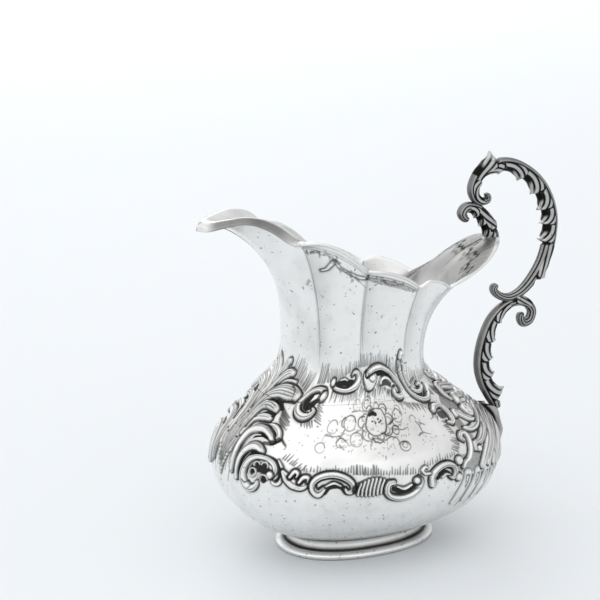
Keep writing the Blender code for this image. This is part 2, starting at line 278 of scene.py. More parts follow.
    def ground(self, points: Sequence[Point], widths: Sequence[float], depth: float, shade: float) -> None:
        """Sink and darken the ground along a line, as behind raised work.

        Args:
            points: the line that the sunk ground follows.
            widths: half widths, spread evenly along the line.
            depth: how far the ground sinks.
            shade: how dark it is, from 0 to 1, on top of its matted grain.
        """
        line = smooth_curve(points, 7 * (len(points) - 1))
        window, distance, place, _ = self._near(line, max(widths))
        half = np.interp(place, np.linspace(0, 1, len(widths)), widths)
        inside = 1 - smooth_step(distance / np.maximum(half, 1e-3), 0.75, 1.0)
        matted = 1 - 0.9 * (1 - shade ** 4) * self.grain[window]
        self.height[window] -= depth * inside * (0.6 + 0.4 * matted)
        self.shade[window] = np.maximum(self.shade[window], min(1.15 * shade, 1) * inside * matted)

    def soften(self) -> None:
        """Blur both maps by about a cell, so that no edge is stepped."""
        for name in ("height", "shade"):
            values = getattr(self, name)
            for axis in (0, 1):
                values = (np.roll(values, 1, axis) + 2 * values + np.roll(values, -1, axis)) / 4
            setattr(self, name, values)

    def sample(self, x: Array, y: Array) -> tuple[Array, Array]:
        """Read the strip, blended between cells.

        Args:
            x: places along the strip, in millimetres.
            y: places across it, in millimetres.

        Returns:
            The height and the darkness at each place.
        """
        rows, columns = self.height.shape
        column = np.clip(x / self.cell, 0, columns - 1.001)
        row = np.clip(y / self.cell, 0, rows - 1.001)
        c0, r0 = column.astype(int), row.astype(int)
        fc, fr = column - c0, row - r0
        result = []
        for values in (self.height, self.shade):
            low = values[r0, c0] * (1 - fc) + values[r0, c0 + 1] * fc
            high = values[r0 + 1, c0] * (1 - fc) + values[r0 + 1, c0 + 1] * fc
            result.append(low * (1 - fr) + high * fr)
        return result[0], result[1]


# ------------------------------------------------------------------ finishes

@dataclass(frozen=True)
class Wiring:
    """Adds and joins the nodes of one node tree.

    Attributes:
        tree: the node tree.
    """

    tree: bpy.types.NodeTree

    def node(self, kind: str, values: dict[str, object] | None = None, **settings: object) -> bpy.types.Node:
        """Add a node.

        Args:
            kind: the node's type, without the words that every type starts with.
            values: values of inputs, by input name.
            settings: the node's own settings, which are made before the values.

        Returns:
            The new node.
        """
        node = self.tree.nodes.new("ShaderNode" + kind)
        for name, value in settings.items():
            setattr(node, name, value)
        for name, value in (values or {}).items():
            node.inputs[name].default_value = value
        return node

    def link(self, source: Socket, target: Socket) -> None:
        """Join an output to an input."""
        self.tree.links.new(source, target)

    def noise(self, place: Socket, scale: float, detail: float) -> Socket:
        """Add a noise pattern.

        Args:
            place: where the pattern is read.
            scale: how fine it is.
            detail: how many finer layers it has.

        Returns:
            The pattern's value.
        """
        pattern = self.node("TexNoise", {"Scale": scale, "Detail": detail})
        self.link(place, pattern.inputs["Vector"])
        return pattern.outputs["Fac"]

    def levels(self, source: Socket, ends: dict[str, float], kind: str = "LINEAR") -> Socket:
        """Move a value from one range to another.

        Args:
            source: the value.
            ends: the ends of both ranges that aren't 0 and 1, by input name.
            kind: how it runs from one end to the other.

        Returns:
            The moved value.
        """
        node = self.node("MapRange", ends, interpolation_type=kind)
        self.link(source, node.inputs["Value"])
        return node.outputs["Result"]

    def combine(self, operation: str, first: Socket, second: Socket, clamp: bool = True) -> Socket:
        """Add one arithmetic step.

        Args:
            operation: what the step does.
            first: its first value.
            second: its second value.
            clamp: keep the result between 0 and 1.

        Returns:
            The result.
        """
        node = self.node("Math", operation=operation, use_clamp=clamp)
        self.link(first, node.inputs[0])
        self.link(second, node.inputs[1])
        return node.outputs["Value"]


@dataclass(frozen=True)
class Silver:
    """A silver finish whose recesses are darkened by oxide, and which also darkens the painted shade given by
    the mesh.

    Attributes:
        name: the material's name.
        bright: colour of the polished metal.
        dark: colour where the oxide is thickest, also the colour of painted shade.
        polish: roughness of the bright metal.
        dull: roughness of the oxide.
        tarnish: how strongly the cloudy film shows.
        pits: how strongly small dark pits show.
    """

    name: str
    bright: tuple[float, float, float] = (0.89, 0.89, 0.875)
    dark: tuple[float, float, float] = (0.035, 0.034, 0.032)
    polish: float = 0.27
    dull: float = 0.5
    tarnish: float = 0.22
    pits: float = 0.6

    def build(self) -> bpy.types.Material:
        """Make the node material.

        Returns:
            The material, which reads a "shade" attribute from the mesh.
        """
        material = bpy.data.materials.new(self.name)
        material.use_nodes = True
        wiring = Wiring(material.node_tree)
        shader = material.node_tree.nodes["Principled BSDF"]
        shader.inputs["Metallic"].default_value = 1.0
        place = wiring.node("TexCoord").outputs["Object"]
        shade = wiring.node("Attribute", attribute_name="shade").outputs["Fac"]

        def patches(scale: float, detail: float, low: float, high: float, strength: float) -> Socket:
            """Spread soft patches over the metal.

            Args:
                scale: how fine the patches are.
                detail: how ragged their edges are.
                low: noise level at which a patch begins.
                high: noise level at which it is full.
                strength: its value when full.

            Returns:
                The patches' value.
            """
            ends = {"From Min": low, "From Max": high, "To Max": strength}
            return wiring.levels(wiring.noise(place, scale, detail), ends, "SMOOTHSTEP")

        film = wiring.combine("ADD", patches(38.0, 5.0, 0.5, 0.8, 0.8 * self.tarnish),
                              patches(300.0, 4.0, 0.5, 0.8, 0.4 * self.tarnish))
        pitting = wiring.combine("MAXIMUM", patches(620.0, 2.0, 0.67, 0.72, self.pits),
                                 patches(240.0, 2.0, 0.71, 0.75, 0.8 * self.pits))
        # The mesh's "shade" attribute holds oxide in the recesses together with painted shade, such as the
        # shadow under the spout's roll and at the foot's joints; tarnish film and pits are added here.
        oxide_and_painted_shade = wiring.combine("MAXIMUM", wiring.combine("ADD", shade, film), pitting)
        colour = wiring.node("Mix", {"A": (*self.bright, 1.0), "B": (*self.dark, 1.0)}, data_type="RGBA")
        wiring.link(oxide_and_painted_shade, colour.inputs["Factor"])
        wiring.link(colour.outputs["Result"], shader.inputs["Base Color"])
        wear = wiring.combine("ADD", oxide_and_painted_shade, patches(160.0, 3.0, 0.3, 0.8, 0.12))
        roughness = wiring.levels(wear, {"To Min": self.polish, "To Max": self.dull})
        wiring.link(roughness, shader.inputs["Roughness"])
        stretch = wiring.node("Mapping", {"Scale": (1.0, 1.0, 0.25)})
        wiring.link(place, stretch.inputs["Vector"])
        bump = wiring.node("Bump", {"Strength": 0.05, "Distance": 0.0002})
        wiring.link(wiring.noise(stretch.outputs["Vector"], 900.0, 3.0), bump.inputs["Height"])
        wiring.link(bump.outputs["Normal"], shader.inputs["Normal"])
        return material


# ------------------------------------------------------------------ mesh making

def mapped_surface(name: str, columns: int, rows: int, mapping: Mapping,
                   inward: bool = False) -> bpy.types.Object:
    """Shape a fine grid into a surface and merge the edges that meet.

    Args:
        name: the object's name.
        columns: faces across the grid.
        rows: faces up the grid.
        mapping: takes places across and up, each from 0 to 1, and gives the points in
            millimetres about the foot's centre and the darkness there.
        inward: turn the faces round after shaping.

    Returns:
        The new object, with a "shade" attribute.
    """
    builder = bmesh.new()
    bmesh.ops.create_grid(builder, x_segments=columns, y_segments=rows, size=0.5)
    shade_layer = builder.verts.layers.float.new("shade")
    places = np.array([vertex.co[:2] for vertex in builder.verts]) + 0.5
    points, shade = mapping(places[:, 0], places[:, 1])
    points = (points + (FOOT_X, 0.0, 0.0)) * MM
    for vertex, point, dark in zip(builder.verts, points.tolist(), shade.tolist()):
        vertex.co = point
        vertex[shade_layer] = dark
    rim = [vertex for vertex in builder.verts if vertex.is_boundary]
    bmesh.ops.remove_doubles(builder, verts=rim, dist=MERGE_REACH)
    if inward:
        bmesh.ops.reverse_faces(builder, faces=builder.faces)
    for face in builder.faces:
        face.smooth = True
    return finish_mesh(name, builder)


def finish_mesh(name: str, builder: bmesh.types.BMesh) -> bpy.types.Object:
    """Put a bmesh into the scene as an object at the origin.

    Args:
        name: the object's name.
        builder: the bmesh, which is freed.

    Returns:
        The new object.
    """
    mesh = bpy.data.meshes.new(name)
    builder.to_mesh(mesh)
    builder.free()
    result = bpy.data.objects.new(name, mesh)
    bpy.context.scene.collection.objects.link(result)
    return result


def dress(piece: bpy.types.Object, finish: bpy.types.Material, node: str) -> bpy.types.Object:
    """Give a piece its finish and tie it to the frame.

    Args:
        piece: the finished object.
        finish: its material.
        node: the frame's node that it stands for.

    Returns:
        The same piece.
    """
    piece.data.materials.append(finish)
    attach(piece, "root")
    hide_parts(node)
    return piece


FOOT_LOW, FOOT_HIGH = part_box("foot_bead")
FOOT_X = (FOOT_LOW.x + FOOT_HIGH.x) / 2 / MM


# ------------------------------------------------------------------ the sheet's form

@dataclass
class JugForm:
    """The jug's undecorated form in millimetres: the solids' form, with a more hollow flare at the rear.

    Attributes:
        sections: the bowl's levels, each with its height, reach to the front and rear, and half width.
        widest: which of those levels is the belly's widest.
        waist_front: the neck's reach to the front at its narrowest.
        waist_rear: its reach to the rear there.
        waist_half: its half width there.
        waist_z_front: height of the waist under the spout.
        waist_z_rear: height of the waist under the handle.
        crease_angles: angles of the neck's creases from the handle, in degrees.
        crease_depth: how deep the creases are.
        rim_points: the rim's points, each with its angle from the handle in degrees, x, y and height.
    """

    sections: tuple = (
        (7.3, 27.0, 27.0, 18.4), (10.5, 36.5, 37.0, 26.5), (17.0, 46.0, 48.5, 34.5),
        (25.0, 52.5, 55.0, 39.2), (34.0, 55.0, 57.2, 40.5), (44.0, 53.0, 53.8, 38.6),
        (53.0, 46.5, 43.5, 32.4), (61.5, 37.5, 30.6, 26.6))
    widest: int = 4
    waist_front: float = 28.0
    waist_rear: float = 24.5
    waist_half: float = 24.0
    waist_z_front: float = 80.0
    waist_z_rear: float = 72.0
    crease_angles: tuple = (36.0, 72.0, 108.0, 144.0)
    crease_depth: float = 1.5
    rim_points: tuple = (
        (0.0, 58.5, 0.0, 109.8), (6.0, 56.8, 5.2, 109.8), (12.0, 53.9, 8.8, 108.2), (18.0, 50.6, 10.9, 105.7),
        (24.0, 46.1, 12.4, 102.7), (30.0, 40.1, 13.6, 99.6), (36.0, 31.7, 15.3, 96.5),
        (48.0, 24.6, 19.5, 100.3), (60.0, 18.9, 22.0, 101.8), (72.0, 14.4, 23.5, 100.2),
        (84.0, 7.1, 24.8, 104.6), (96.0, -1.0, 25.4, 107.6), (108.0, -7.9, 25.0, 108.4),
        (120.0, -15.6, 23.5, 115.1), (132.0, -23.8, 21.0, 119.0), (144.0, -33.2, 17.0, 119.6),
        (150.0, -37.8, 14.0, 124.1), (156.0, -43.0, 11.2, 126.8), (162.0, -48.9, 9.2, 127.8),
        (168.0, -54.6, 7.0, 126.9), (174.0, -59.2, 4.2, 125.7), (180.0, -61.4, 0.0, 125.3))

    def __post_init__(self) -> None:
        """Work out the tables that the surfaces are read from."""
        steps = 400
        self.profile = smooth_curve(self.sections, steps)
        side_run = np.hypot(np.diff(self.profile[:, 0]), np.diff(self.profile[:, 3]))
        self.climb = np.r_[0, np.cumsum(side_run)]
        belly = self.profile[int(steps * self.widest / (len(self.sections) - 1))]
        self.turn = np.linspace(math.pi, 0, 721)
        x, y = oval(self.turn)
        ring = np.stack([x * np.where(x > 0, belly[2], belly[1]), y * belly[3]], -1)
        self.reach = np.r_[0, np.cumsum(np.linalg.norm(np.diff(ring, axis=0), axis=1))]
        stops = (0.0,) + self.crease_angles + (180.0,)
        arches, arch_steps = [], 60
        for first, last in zip(stops, stops[1:]):
            arch = [point for point in self.rim_points if first <= point[0] <= last]
            curve = smooth_curve([point[1:] for point in arch], arch_steps)
            arches.append(np.column_stack([np.linspace(first, last, arch_steps + 1), curve]))
        self.rim_table = np.vstack([arches[0]] + [arch[1:] for arch in arches[1:]])

    @property
    def half_girth(self) -> float:
        """Length round one side of the belly, from spout to handle."""
        return float(self.reach[-1])

    @property
    def shoulder(self) -> float:
        """Climb along the side from the base to the neck's seam."""
        return float(self.climb[-1])

    def bowl(self, along: Array, up: Array, side: Side) -> Array:
        """Points of the bowl's outer surface.

        Args:
            along: run round the belly from the spout, in millimetres.
            up: climb from the base, in millimetres.
            side: which side of the mirror plane.

        Returns:
            One row of x, y, z for each place.
        """
        angle = np.interp(along, self.reach, self.turn)
        height, front, rear, half = (np.interp(up, self.climb, values) for values in self.profile.T)
        x, y = oval(angle)
        return np.stack([x * np.where(x > 0, rear, front), y * half * side.value, height], -1)

    def from_crease(self, degrees: Array) -> Array:
        """Degrees from each angle to the nearest crease."""
        return np.min([np.abs(degrees - line) for line in self.crease_angles], axis=0)

    def crease(self, degrees: Array) -> Array:
        """Depth of the neck's creases, 1 in a crease and 0 far from it: a wide fold with a sharp floor."""
        nearest = self.from_crease(degrees)
        return 0.62 * np.exp(-nearest / 5.5) + 0.38 * np.exp(-(nearest / 1.3) ** 2)

    def rim_at(self, degrees: Array) -> Array:
        """Points of the near rim at angles from the handle."""
        angles, *places = self.rim_table.T
        return np.stack([np.interp(degrees, angles, values) for values in places], -1)

    def neck(self, angle: Array, rise: Array) -> tuple[Array, Array, Array]:
        """Points of the neck's outer surface, without its rolled edge.

        Args:
            angle: angle from the handle in radians, positive on the far side.
            rise: 0 at the bowl's seam to 1 at the rim.

        Returns:
            The points, the upward direction at the rim, and the outward direction there.
        """
        seam, shoulder_end, step, outward_fall = 0.1, 0.25, 0.02 * 57, 30
        degrees = np.degrees(off_zero(angle))
        sign = np.where(np.sin(angle) >= 0, 1.0, -1.0)
        to_rear = 0.5 + 0.5 * np.cos(angle)
        to_front = 1 - to_rear
        x, y = oval(angle)
        zero = np.zeros_like(x)
        _, front, rear, half = self.profile[-1]
        base = np.stack([x * np.where(x > 0, rear, front), y * half, zero + self.profile[-1, 0] + seam], -1)
        waist_z = self.waist_z_front + (self.waist_z_rear - self.waist_z_front) * to_rear
        waist_reach = np.where(x > 0, self.waist_rear, self.waist_front)
        waist = np.stack([x * waist_reach, y * self.waist_half, waist_z], -1)
        rim = self.rim_at(degrees)
        rim[:, 1] *= sign
        climb = rim[:, 2] - waist_z
        outward = 0.42 + 0.28 * to_front ** 3 + 0.23 * to_rear ** 3
        drop = 0.36 - 0.22 * to_front ** 3 - 0.24 * to_rear ** 3
        lower = waist + np.stack([zero, zero, 0.52 * climb], -1)
        upper = rim - np.stack([outward * (rim[:, 0] - waist[:, 0]), outward * (rim[:, 1] - waist[:, 1]),
                                drop * climb], -1)
        joint = np.stack([waist[:, 0], waist[:, 1], 0.65 * base[:, 2] + 0.35 * waist_z], -1)
        part = np.clip(rise / shoulder_end, 0, 1)[:, None]
        low = (1 - part) ** 2 * base + 2 * part * (1 - part) * joint + part ** 2 * waist
        part = np.clip((rise - shoulder_end) / (1 - shoulder_end), 0, 1)[:, None]
        high = ((1 - part) ** 3 * waist + 3 * part * (1 - part) ** 2 * lower
                + 3 * part ** 2 * (1 - part) * upper + part ** 3 * rim)
        points = np.where((rise < shoulder_end)[:, None], low, high)
        depth = self.crease_depth * self.crease(degrees) * smooth_step(rise, 0.0, 0.35)
        radius = np.hypot(points[:, 0], points[:, 1])
        points[:, :2] *= (1 - depth / radius)[:, None]
        tangent = unit(rim - upper)
        around = unit(self.rim_at(np.abs(degrees + step)) - self.rim_at(np.abs(degrees - step)))
        around[:, 1] *= sign
        out = np.cross(around, tangent)
        radial = np.stack([rim[:, 0], rim[:, 1], -outward_fall + zero], -1)
        out *= np.sign(np.sum(out * radial, -1))[:, None]
        return points, tangent, unit(out)


# ------------------------------------------------------------------ chased pattern of the belly

@dataclass
class BellyChasing:
    """The belly's rococo border, laid out flat: run from the spout, climb from the base, in millimetres.

    Attributes:
        width: length of the strip, from the spout to the handle.
        depth: its length from the base upwards.
        relief: the chased strip.
    """

    width: float
    depth: float = 100.0
    relief: Relief = field(init=False)

    def __post_init__(self) -> None:
        """Chase every part of the pattern, from the ground up."""
        self.relief = Relief(self.width, self.depth)
        self.rng = np.random.default_rng(BELLY_SEED)
        self.cut_hatching()
        self.sink_grounds()
        self.raise_gadroons()
        self.raise_acanthus()
        self.raise_front_sheaf()
        self.raise_fronds()
        self.raise_lower_scrolls()
        self.raise_upper_scrolls()
        self.engrave_spray()
        self.relief.soften()

    def cut_hatching(self) -> None:
        """Engraved strokes that fade the border into the plain sheet."""
        rows = (
            ((10, 77.5), (17, 76), 8, (2.6, 5.6), 0.3, 0.26),
            ((17, 76), (26, 72.5), 13, (2.0, 5.4), 0.3, 0.24),
            ((30.5, 75.6), (35.6, 75.8), 5, (0.5, 6.2), 0.15, 0.34, 0.9),
            ((36.2, 76), (44, 77), 8, (-0.8, 3.8), 0.3, 0.26),
            ((44, 77.6), (57, 81.4), 14, (-0.3, 3.4), 0.35, 0.24),
            ((57, 81), (72, 82.6), 17, (-0.3, 3.6), 0.4, 0.22),
            ((72, 82.4), (88, 77), 18, (-0.1, 3.6), 0.4, 0.22),
            ((95.5, 73), (110, 71), 14, (0.0, 5.0), 0.45, 0.22),
            ((110, 73), (136, 75), 22, (0.2, 4.4), 0.45, 0.22),
            ((57, 76), (61, 73.4), 6, (-1.2, -3.0), 0.3, 0.24),
            ((61, 73.6), (69, 73), 10, (0.3, -3.4), 0.35, 0.24),
            ((69, 75), (80, 71.6), 14, (0.6, -3.2), 0.4, 0.26),
            ((41, 73.4), (57, 72.6), 17, (0.7, -3.0), 0.3, 0.26),
            ((36.5, 73.4), (38.6, 63.5), 11, (3.4, -1.5), 0.3, 0.26, 0.9),
            ((31.5, 63.8), (37.5, 63.6), 7, (1.4, -2.2), 0.3, 0.24),
            ((19.5, 67.5), (23, 61.5), 9, (5.6, -2.6), 0.25, 0.3, 0.9),
            ((25.5, 58), (27.5, 55.5), 5, (3.0, -2.4), 0.3, 0.26),
            ((82, 68.6), (95, 66), 15, (0.4, -2.2), 0.4, 0.24),
            ((95, 66), (104, 65), 9, (-0.8, -2.6), 0.4, 0.24),
            ((29.5, 49.5), (38, 45.4), 9, (1.6, 2.0), 0.4, 0.22),
            ((38, 45.4), (56, 44.6), 16, (0.1, 1.8), 0.5, 0.22),
            ((56, 44), (66, 43), 13, (0.0, 2.6), 0.35, 0.26),
            ((66, 43), (83, 41), 16, (0.2, 2.0), 0.5, 0.22),
            ((84, 43), (99, 45), 13, (0.1, 1.8), 0.5, 0.2),
            ((100.5, 45.5), (104, 50), 7, (-2.4, 1.2), 0.4, 0.22),
            ((103.5, 52), (103.5, 58), 8, (-2.6, 0.4), 0.4, 0.22),
            ((99, 61), (102, 60), 4, (-1.6, -1.6), 0.4, 0.22))
        for start, end, count, stroke, jitter, *cut in rows:
            self.relief.hatch(start, end, count, stroke, jitter, self.rng, *cut)

    def sink_grounds(self) -> None:
        """Matted ground between the scrolls, set back and dark."""
        ground = self.relief.ground
        ground([(101, 41.5), (106, 40), (110, 42.5), (113, 43)], [3.5, 4.2, 4.2, 3], 0.3, 0.62)
        ground([(110, 50), (110.5, 56), (113, 61), (119, 63), (128, 63.5), (138, 62)], [3, 3, 4, 5, 5, 5],
               0.35, 0.7)
        ground([(104, 60), (106.5, 60)], [1.8, 1.8], 0.3, 0.9)
        ground([(118, 68), (126, 66), (140, 66), (157, 66)], [2.5, 3, 4, 5], 0.35, 0.8)
        ground([(134, 47), (145, 47), (157, 47)], [6, 9, 11], 0.35, 0.85)
        ground([(109, 71), (113, 69)], [2.0, 2.0], 0.25, 0.7)

    def raise_gadroons(self) -> None:
        """Leaning tongues under the rear of the border, fading out towards the foot."""
        count, first, pitch = 13, 104.2, 5.9
        for number in range(count):
            place = first + pitch * number
            top = 36.6 - 0.55 * number if number < 5 else 33.9 + 0.1 * (number - 5)
            fall = 10.5 - 0.3 * number
            spine = [(place, top), (place - 0.4, top - 3.0), (place - 0.3 * fall, top - 0.7 * fall),
                     (place - 0.48 * fall, top - fall)]
            self.relief.ridge(spine, [1.9, 2.3, 1.9, 0.9], 0.55, halo=0.5, halo_shade=0.75, edge_shade=0.2)
            self.relief.ridge([(place - 0.1, top - 1.4), (place - 0.5, top - 4.6)], [0.75, 0.2], 0.0,
                              halo=0.45, halo_shade=0.8, edge_shade=1.0)
            self.relief.line([(place + 2.9, top - 1.2), (place + 2.0, top - 4.6), (place + 0.2, top - 10.0),
                              (place - 1.4, top - 13.5)], 0.42, 0.2, 1.0)

    def leaf(self, spine: Sequence[Point], widths: Sequence[float], height: float = 1.0,
             veins: Sequence[float] = (-0.4, 0.3)) -> None:
        """Raise one acanthus lobe, a broad ridge that is fluted along its length.

        Args:
            spine: the line that the lobe follows.
            widths: half widths, spread evenly along the spine.
            height: how far the lobe stands up.
            veins: places of its flutes, from -1 at its right edge to 1 at its left.
        """
        self.relief.ridge(spine, widths, height, veins, halo=0.8, edge_shade=0.2)

    def raise_acanthus(self) -> None:
        """The great leaf that spreads from under the handle across the side."""
        leaf = self.leaf
        leaf([(157, 74), (148, 73), (140, 71.5), (133, 71.4), (127, 72.6), (122.6, 74.4)],
             [2.0, 2.0, 1.9, 1.7, 1.3, 0.6])
        leaf([(157, 67), (148, 66), (140, 65.4), (132, 67.4), (124.4, 68.4), (120.8, 65.6), (121.6, 63.4)],
             [2.2, 2.2, 2.0, 1.8, 1.6, 1.2, 0.7], 1.1)
        leaf([(157, 38), (150, 36), (142, 33.4), (135, 31.5)], [2.6, 2.6, 2.2, 0.7], 0.9)
        leaf([(157, 42), (149, 41), (141, 38.2), (134, 35), (127.5, 34)], [2.8, 2.8, 2.4, 2.0, 0.7])
        leaf([(155, 46), (146, 45.6), (138, 43), (131, 38.8), (125.6, 35.2)], [2.6, 2.6, 2.4, 2.0, 0.8])
        leaf([(150, 49), (140, 49), (131.6, 46.6), (125, 41.6), (121.2, 36.6)], [2.6, 2.6, 2.4, 2.1, 1.0],
             1.1)
        leaf([(148, 51.4), (140, 51.6), (131, 49.2), (123.6, 44), (119.2, 40.6), (116.8, 37.6)],
             [2.4, 2.5, 2.4, 2.2, 1.8, 1.1], 1.1)
        leaf([(146, 53.6), (138, 54), (130, 51.6), (122, 46.4), (116, 41.6), (112.6, 37.8)],
             [2.2, 2.3, 2.2, 2.0, 1.9, 1.4], 1.2)
        leaf([(144, 56), (136, 56), (129, 53.8), (121, 49.8), (114.6, 46.8), (110.6, 46.4), (110.2, 44.6)],
             [2.0, 2.0, 1.9, 1.7, 1.6, 1.4, 0.9], 1.2)
        leaf([(142, 58), (134, 57.4), (127, 55), (119.6, 52.6), (114, 51.8), (110.8, 52.6)],
             [1.5, 1.6, 1.5, 1.3, 1.4, 0.9], 1.1, (0.0,))
        leaf([(140, 60), (132, 58.6), (125, 56.3), (119, 54.8), (115.4, 57.6), (113.4, 59.4), (112, 58)],
             [1.2, 1.3, 1.2, 1.1, 1.3, 1.3, 1.0], 1.0, (0.0,))
        leaf([(157, 62.6), (150, 62.4), (144, 61.4), (137.4, 62.6)], [1.8, 1.9, 1.6, 0.7])
        leaf([(157, 58.6), (151, 59.2), (145.6, 59.4), (141.4, 60.6)], [1.8, 1.8, 1.4, 0.6])
        leaf([(157, 54.4), (152.4, 55.6), (148.2, 56.4), (144, 58)], [1.9, 1.9, 1.5, 0.7])
        leaf([(157, 50.4), (153.4, 52), (150, 53)], [1.9, 1.7, 0.8])
        leaf([(157, 70.6), (149, 69.6), (141, 68.8), (133.6, 69.4)], [1.2, 1.3, 1.0, 0.5], 0.9, (0.0,))
        self.relief.boss((112.2, 44.2), 1.2, 1.1)

    def raise_front_sheaf(self) -> None:
        """The sheaf of long blades that climbs the front to the spout."""
        ridge, line, rng = self.relief.ridge, self.relief.line, self.rng
        blades, fine_lines = 7, 26
        for number in range(blades):
            lean = number * 1.15
            ridge([(lean * 0.55, 38 + 1.5 * number), (lean * 0.8, 50), (lean + 0.2, 62),
                   (lean * 1.15 + 0.8, 72), (lean * 1.3 + 2.4, 79)], [0.5, 0.62, 0.62, 0.6, 0.4], 0.7,
                  halo=0.4, halo_shade=0.9, edge_shade=0.45)
        for _ in range(fine_lines):
            start = rng.uniform(36, 56)
            across = rng.uniform(0.2, 8.0)
            line([(across * 0.8, start), (across, start + rng.uniform(6, 9)), (across * 1.05, start + 16)],
                 0.2, 0.12, 0.75)
        ridge([(0.2, 64), (0.4, 71), (2.2, 76.2), (5.0, 79.8), (7.6, 81.2)], [1.4, 1.9, 2.1, 2.0, 1.2], 1.1,
              (-0.3, 0.35), halo=0.8)
        ridge([(1.6, 65), (2.8, 71), (6.0, 75), (10.0, 77.2), (13.0, 77.4)], [1.2, 1.8, 2.0, 1.9, 1.1], 1.1,
              (-0.3, 0.35), halo=0.8)
        ridge([(2.0, 60), (3.6, 67.6), (8, 71.8), (12.6, 73.8), (17.0, 74.4)], [1.0, 1.6, 1.9, 1.8, 1.1],
              1.1, (-0.35, 0.2), halo=0.8)

    def raise_fronds(self) -> None:
        """Shell and fronds beside the sheaf, each curling back along the side."""
        ridge, boss, line = self.relief.ridge, self.relief.boss, self.relief.line
        ridge([(2.6, 58), (3.0, 64), (5.6, 69.2), (10.5, 71.3), (16.7, 71.6), (21.6, 71.2), (24.4, 70.6)],
              [0.9, 1.4, 1.9, 2.1, 2.3, 2.2, 1.2], 1.2, (-0.55, -0.15, 0.3, 0.62), 0.1, halo=0.8)
        line([(16.8, 73.6), (19.8, 72.6), (21.6, 70.8), (21.9, 69.6)], 0.34, 0.35, 1.0)
        ridge([(4.2, 54), (4.8, 61), (7, 65.6), (11, 67.1), (15.4, 66.6), (17.6, 65.8)],
              [0.8, 1.2, 1.4, 1.5, 1.7, 1.3], 1.1, (-0.4, 0.2), halo=0.65)
        ridge([(6.0, 55), (7.6, 60.4), (10, 62.1), (14, 62.6), (17.6, 62.5)], [0.7, 1.0, 1.1, 1.1, 0.9],
              1.0, (0.1,), halo=0.8)
        self.relief.ground([(9.4, 68.2), (13, 68.7), (17.6, 68.2), (20, 66.4)], [0.5, 0.9, 0.9, 0.6], 0.4,
                           1.0)
        self.relief.ground([(6.6, 57.6), (7.4, 60.4), (9.4, 63.4), (13, 64.4), (18, 64)],
                           [0.6, 0.6, 0.6, 0.8, 0.9], 0.4, 1.0)
        ridge([(18.6, 60.4), (22.4, 60.1), (25, 58.6), (26, 56.6), (25.2, 56.0)], [0.6, 0.9, 1.1, 1.1, 0.8],
              1.2, halo=0.7)
        ridge([(8.2, 41), (8.3, 50), (9.2, 55), (11.4, 57.8), (15.4, 58.7), (19, 58.4), (22, 57),
               (23.8, 55.2)], [0.6, 1.1, 1.3, 1.5, 1.6, 1.6, 1.4, 0.9], 1.3, (0.35, 0.7), 0.09, halo=0.8)
        self.relief.ground([(9.5, 41.4), (10, 47.6), (10.5, 51.4), (12, 54.6), (14.6, 56.2), (18.3, 56.8),
                            (21, 56)], [0.5, 0.75, 0.9, 1.1, 1.1, 0.9, 0.4], 0.45, 1.0)
        self.relief.ground([(20, 54), (24, 54.4), (26.6, 56)], [0.7, 0.9, 0.7], 0.3, 0.9)
        ridge([(11.2, 39.5), (11.2, 45.5), (12.2, 48.8), (14, 51.2), (16.6, 52.3), (19.2, 52),
               (20.9, 50.8)], [0.9, 1.1, 1.3, 1.6, 1.7, 1.6, 1.3], 1.2, (0.3, 0.62), 0.1, halo=0.8)
        line([(13.8, 53), (15.4, 53.8), (16.8, 53.9)], 0.3, 0.2, 1.0)
        self.relief.ground([(14.2, 37), (12.9, 39.7), (12.9, 43.5), (13.4, 46.6), (15, 48.9), (17.5, 49.9),
                            (20, 49.8), (24, 49.3), (27.6, 48), (29.3, 45.4), (29.4, 42.6), (28, 41)],
                           [0.5, 0.9, 1.1, 1.0, 0.9, 0.9, 0.7, 0.7, 0.9, 0.9, 0.6, 0.4], 0.45, 1.0)
        self.relief.ground([(17.6, 43), (20, 45), (23, 45), (25, 43.4), (23.6, 41)],
                           [1.4, 2.2, 2.2, 1.8, 1.4], 0.5, 1.0)
        ridge([(28.6, 48.6), (30.4, 46), (30.8, 43), (29.8, 40.7), (28.2, 40.3), (27, 41.2)],
              [0.3, 0.5, 0.55, 0.6, 0.7, 0.4], 0.9, halo=0.5)
        ridge([(25.4, 42.4), (27.8, 44.2), (27.6, 46.4), (25.6, 48), (22.6, 48.8), (19.2, 48.5),
               (16.6, 46.8), (14.9, 43.6), (14.8, 40.2), (16.4, 37.8), (19, 37.4), (20.9, 38.6),
               (21.4, 40)], [0.7, 1.0, 0.9, 0.85, 0.85, 0.95, 1.1, 1.2, 1.4, 1.7, 1.8, 1.2, 0.6], 1.3,
              halo=0.5)
        boss((26.2, 43.2), 1.4, 1.3)
        line([(15.2, 39.8), (16.4, 39), (17.8, 39.8), (18.8, 38.4), (18, 37.4)], 0.3, 0.4, 1.0)
        for x, y, radius, start, end in ((19, 43.1, 1.5, 0, 360), (23.5, 41.0, 1.9, 10, 170),
                                         (20.4, 45.9, 1.2, 20, 200), (23.6, 46.0, 1.3, -20, 170)):
            turns = np.radians(np.linspace(start, end, 9))
            ridge(list(zip(x + radius * np.cos(turns), y + radius * np.sin(turns))), [0.26, 0.3, 0.26], 0.5,
                  halo=0.2)

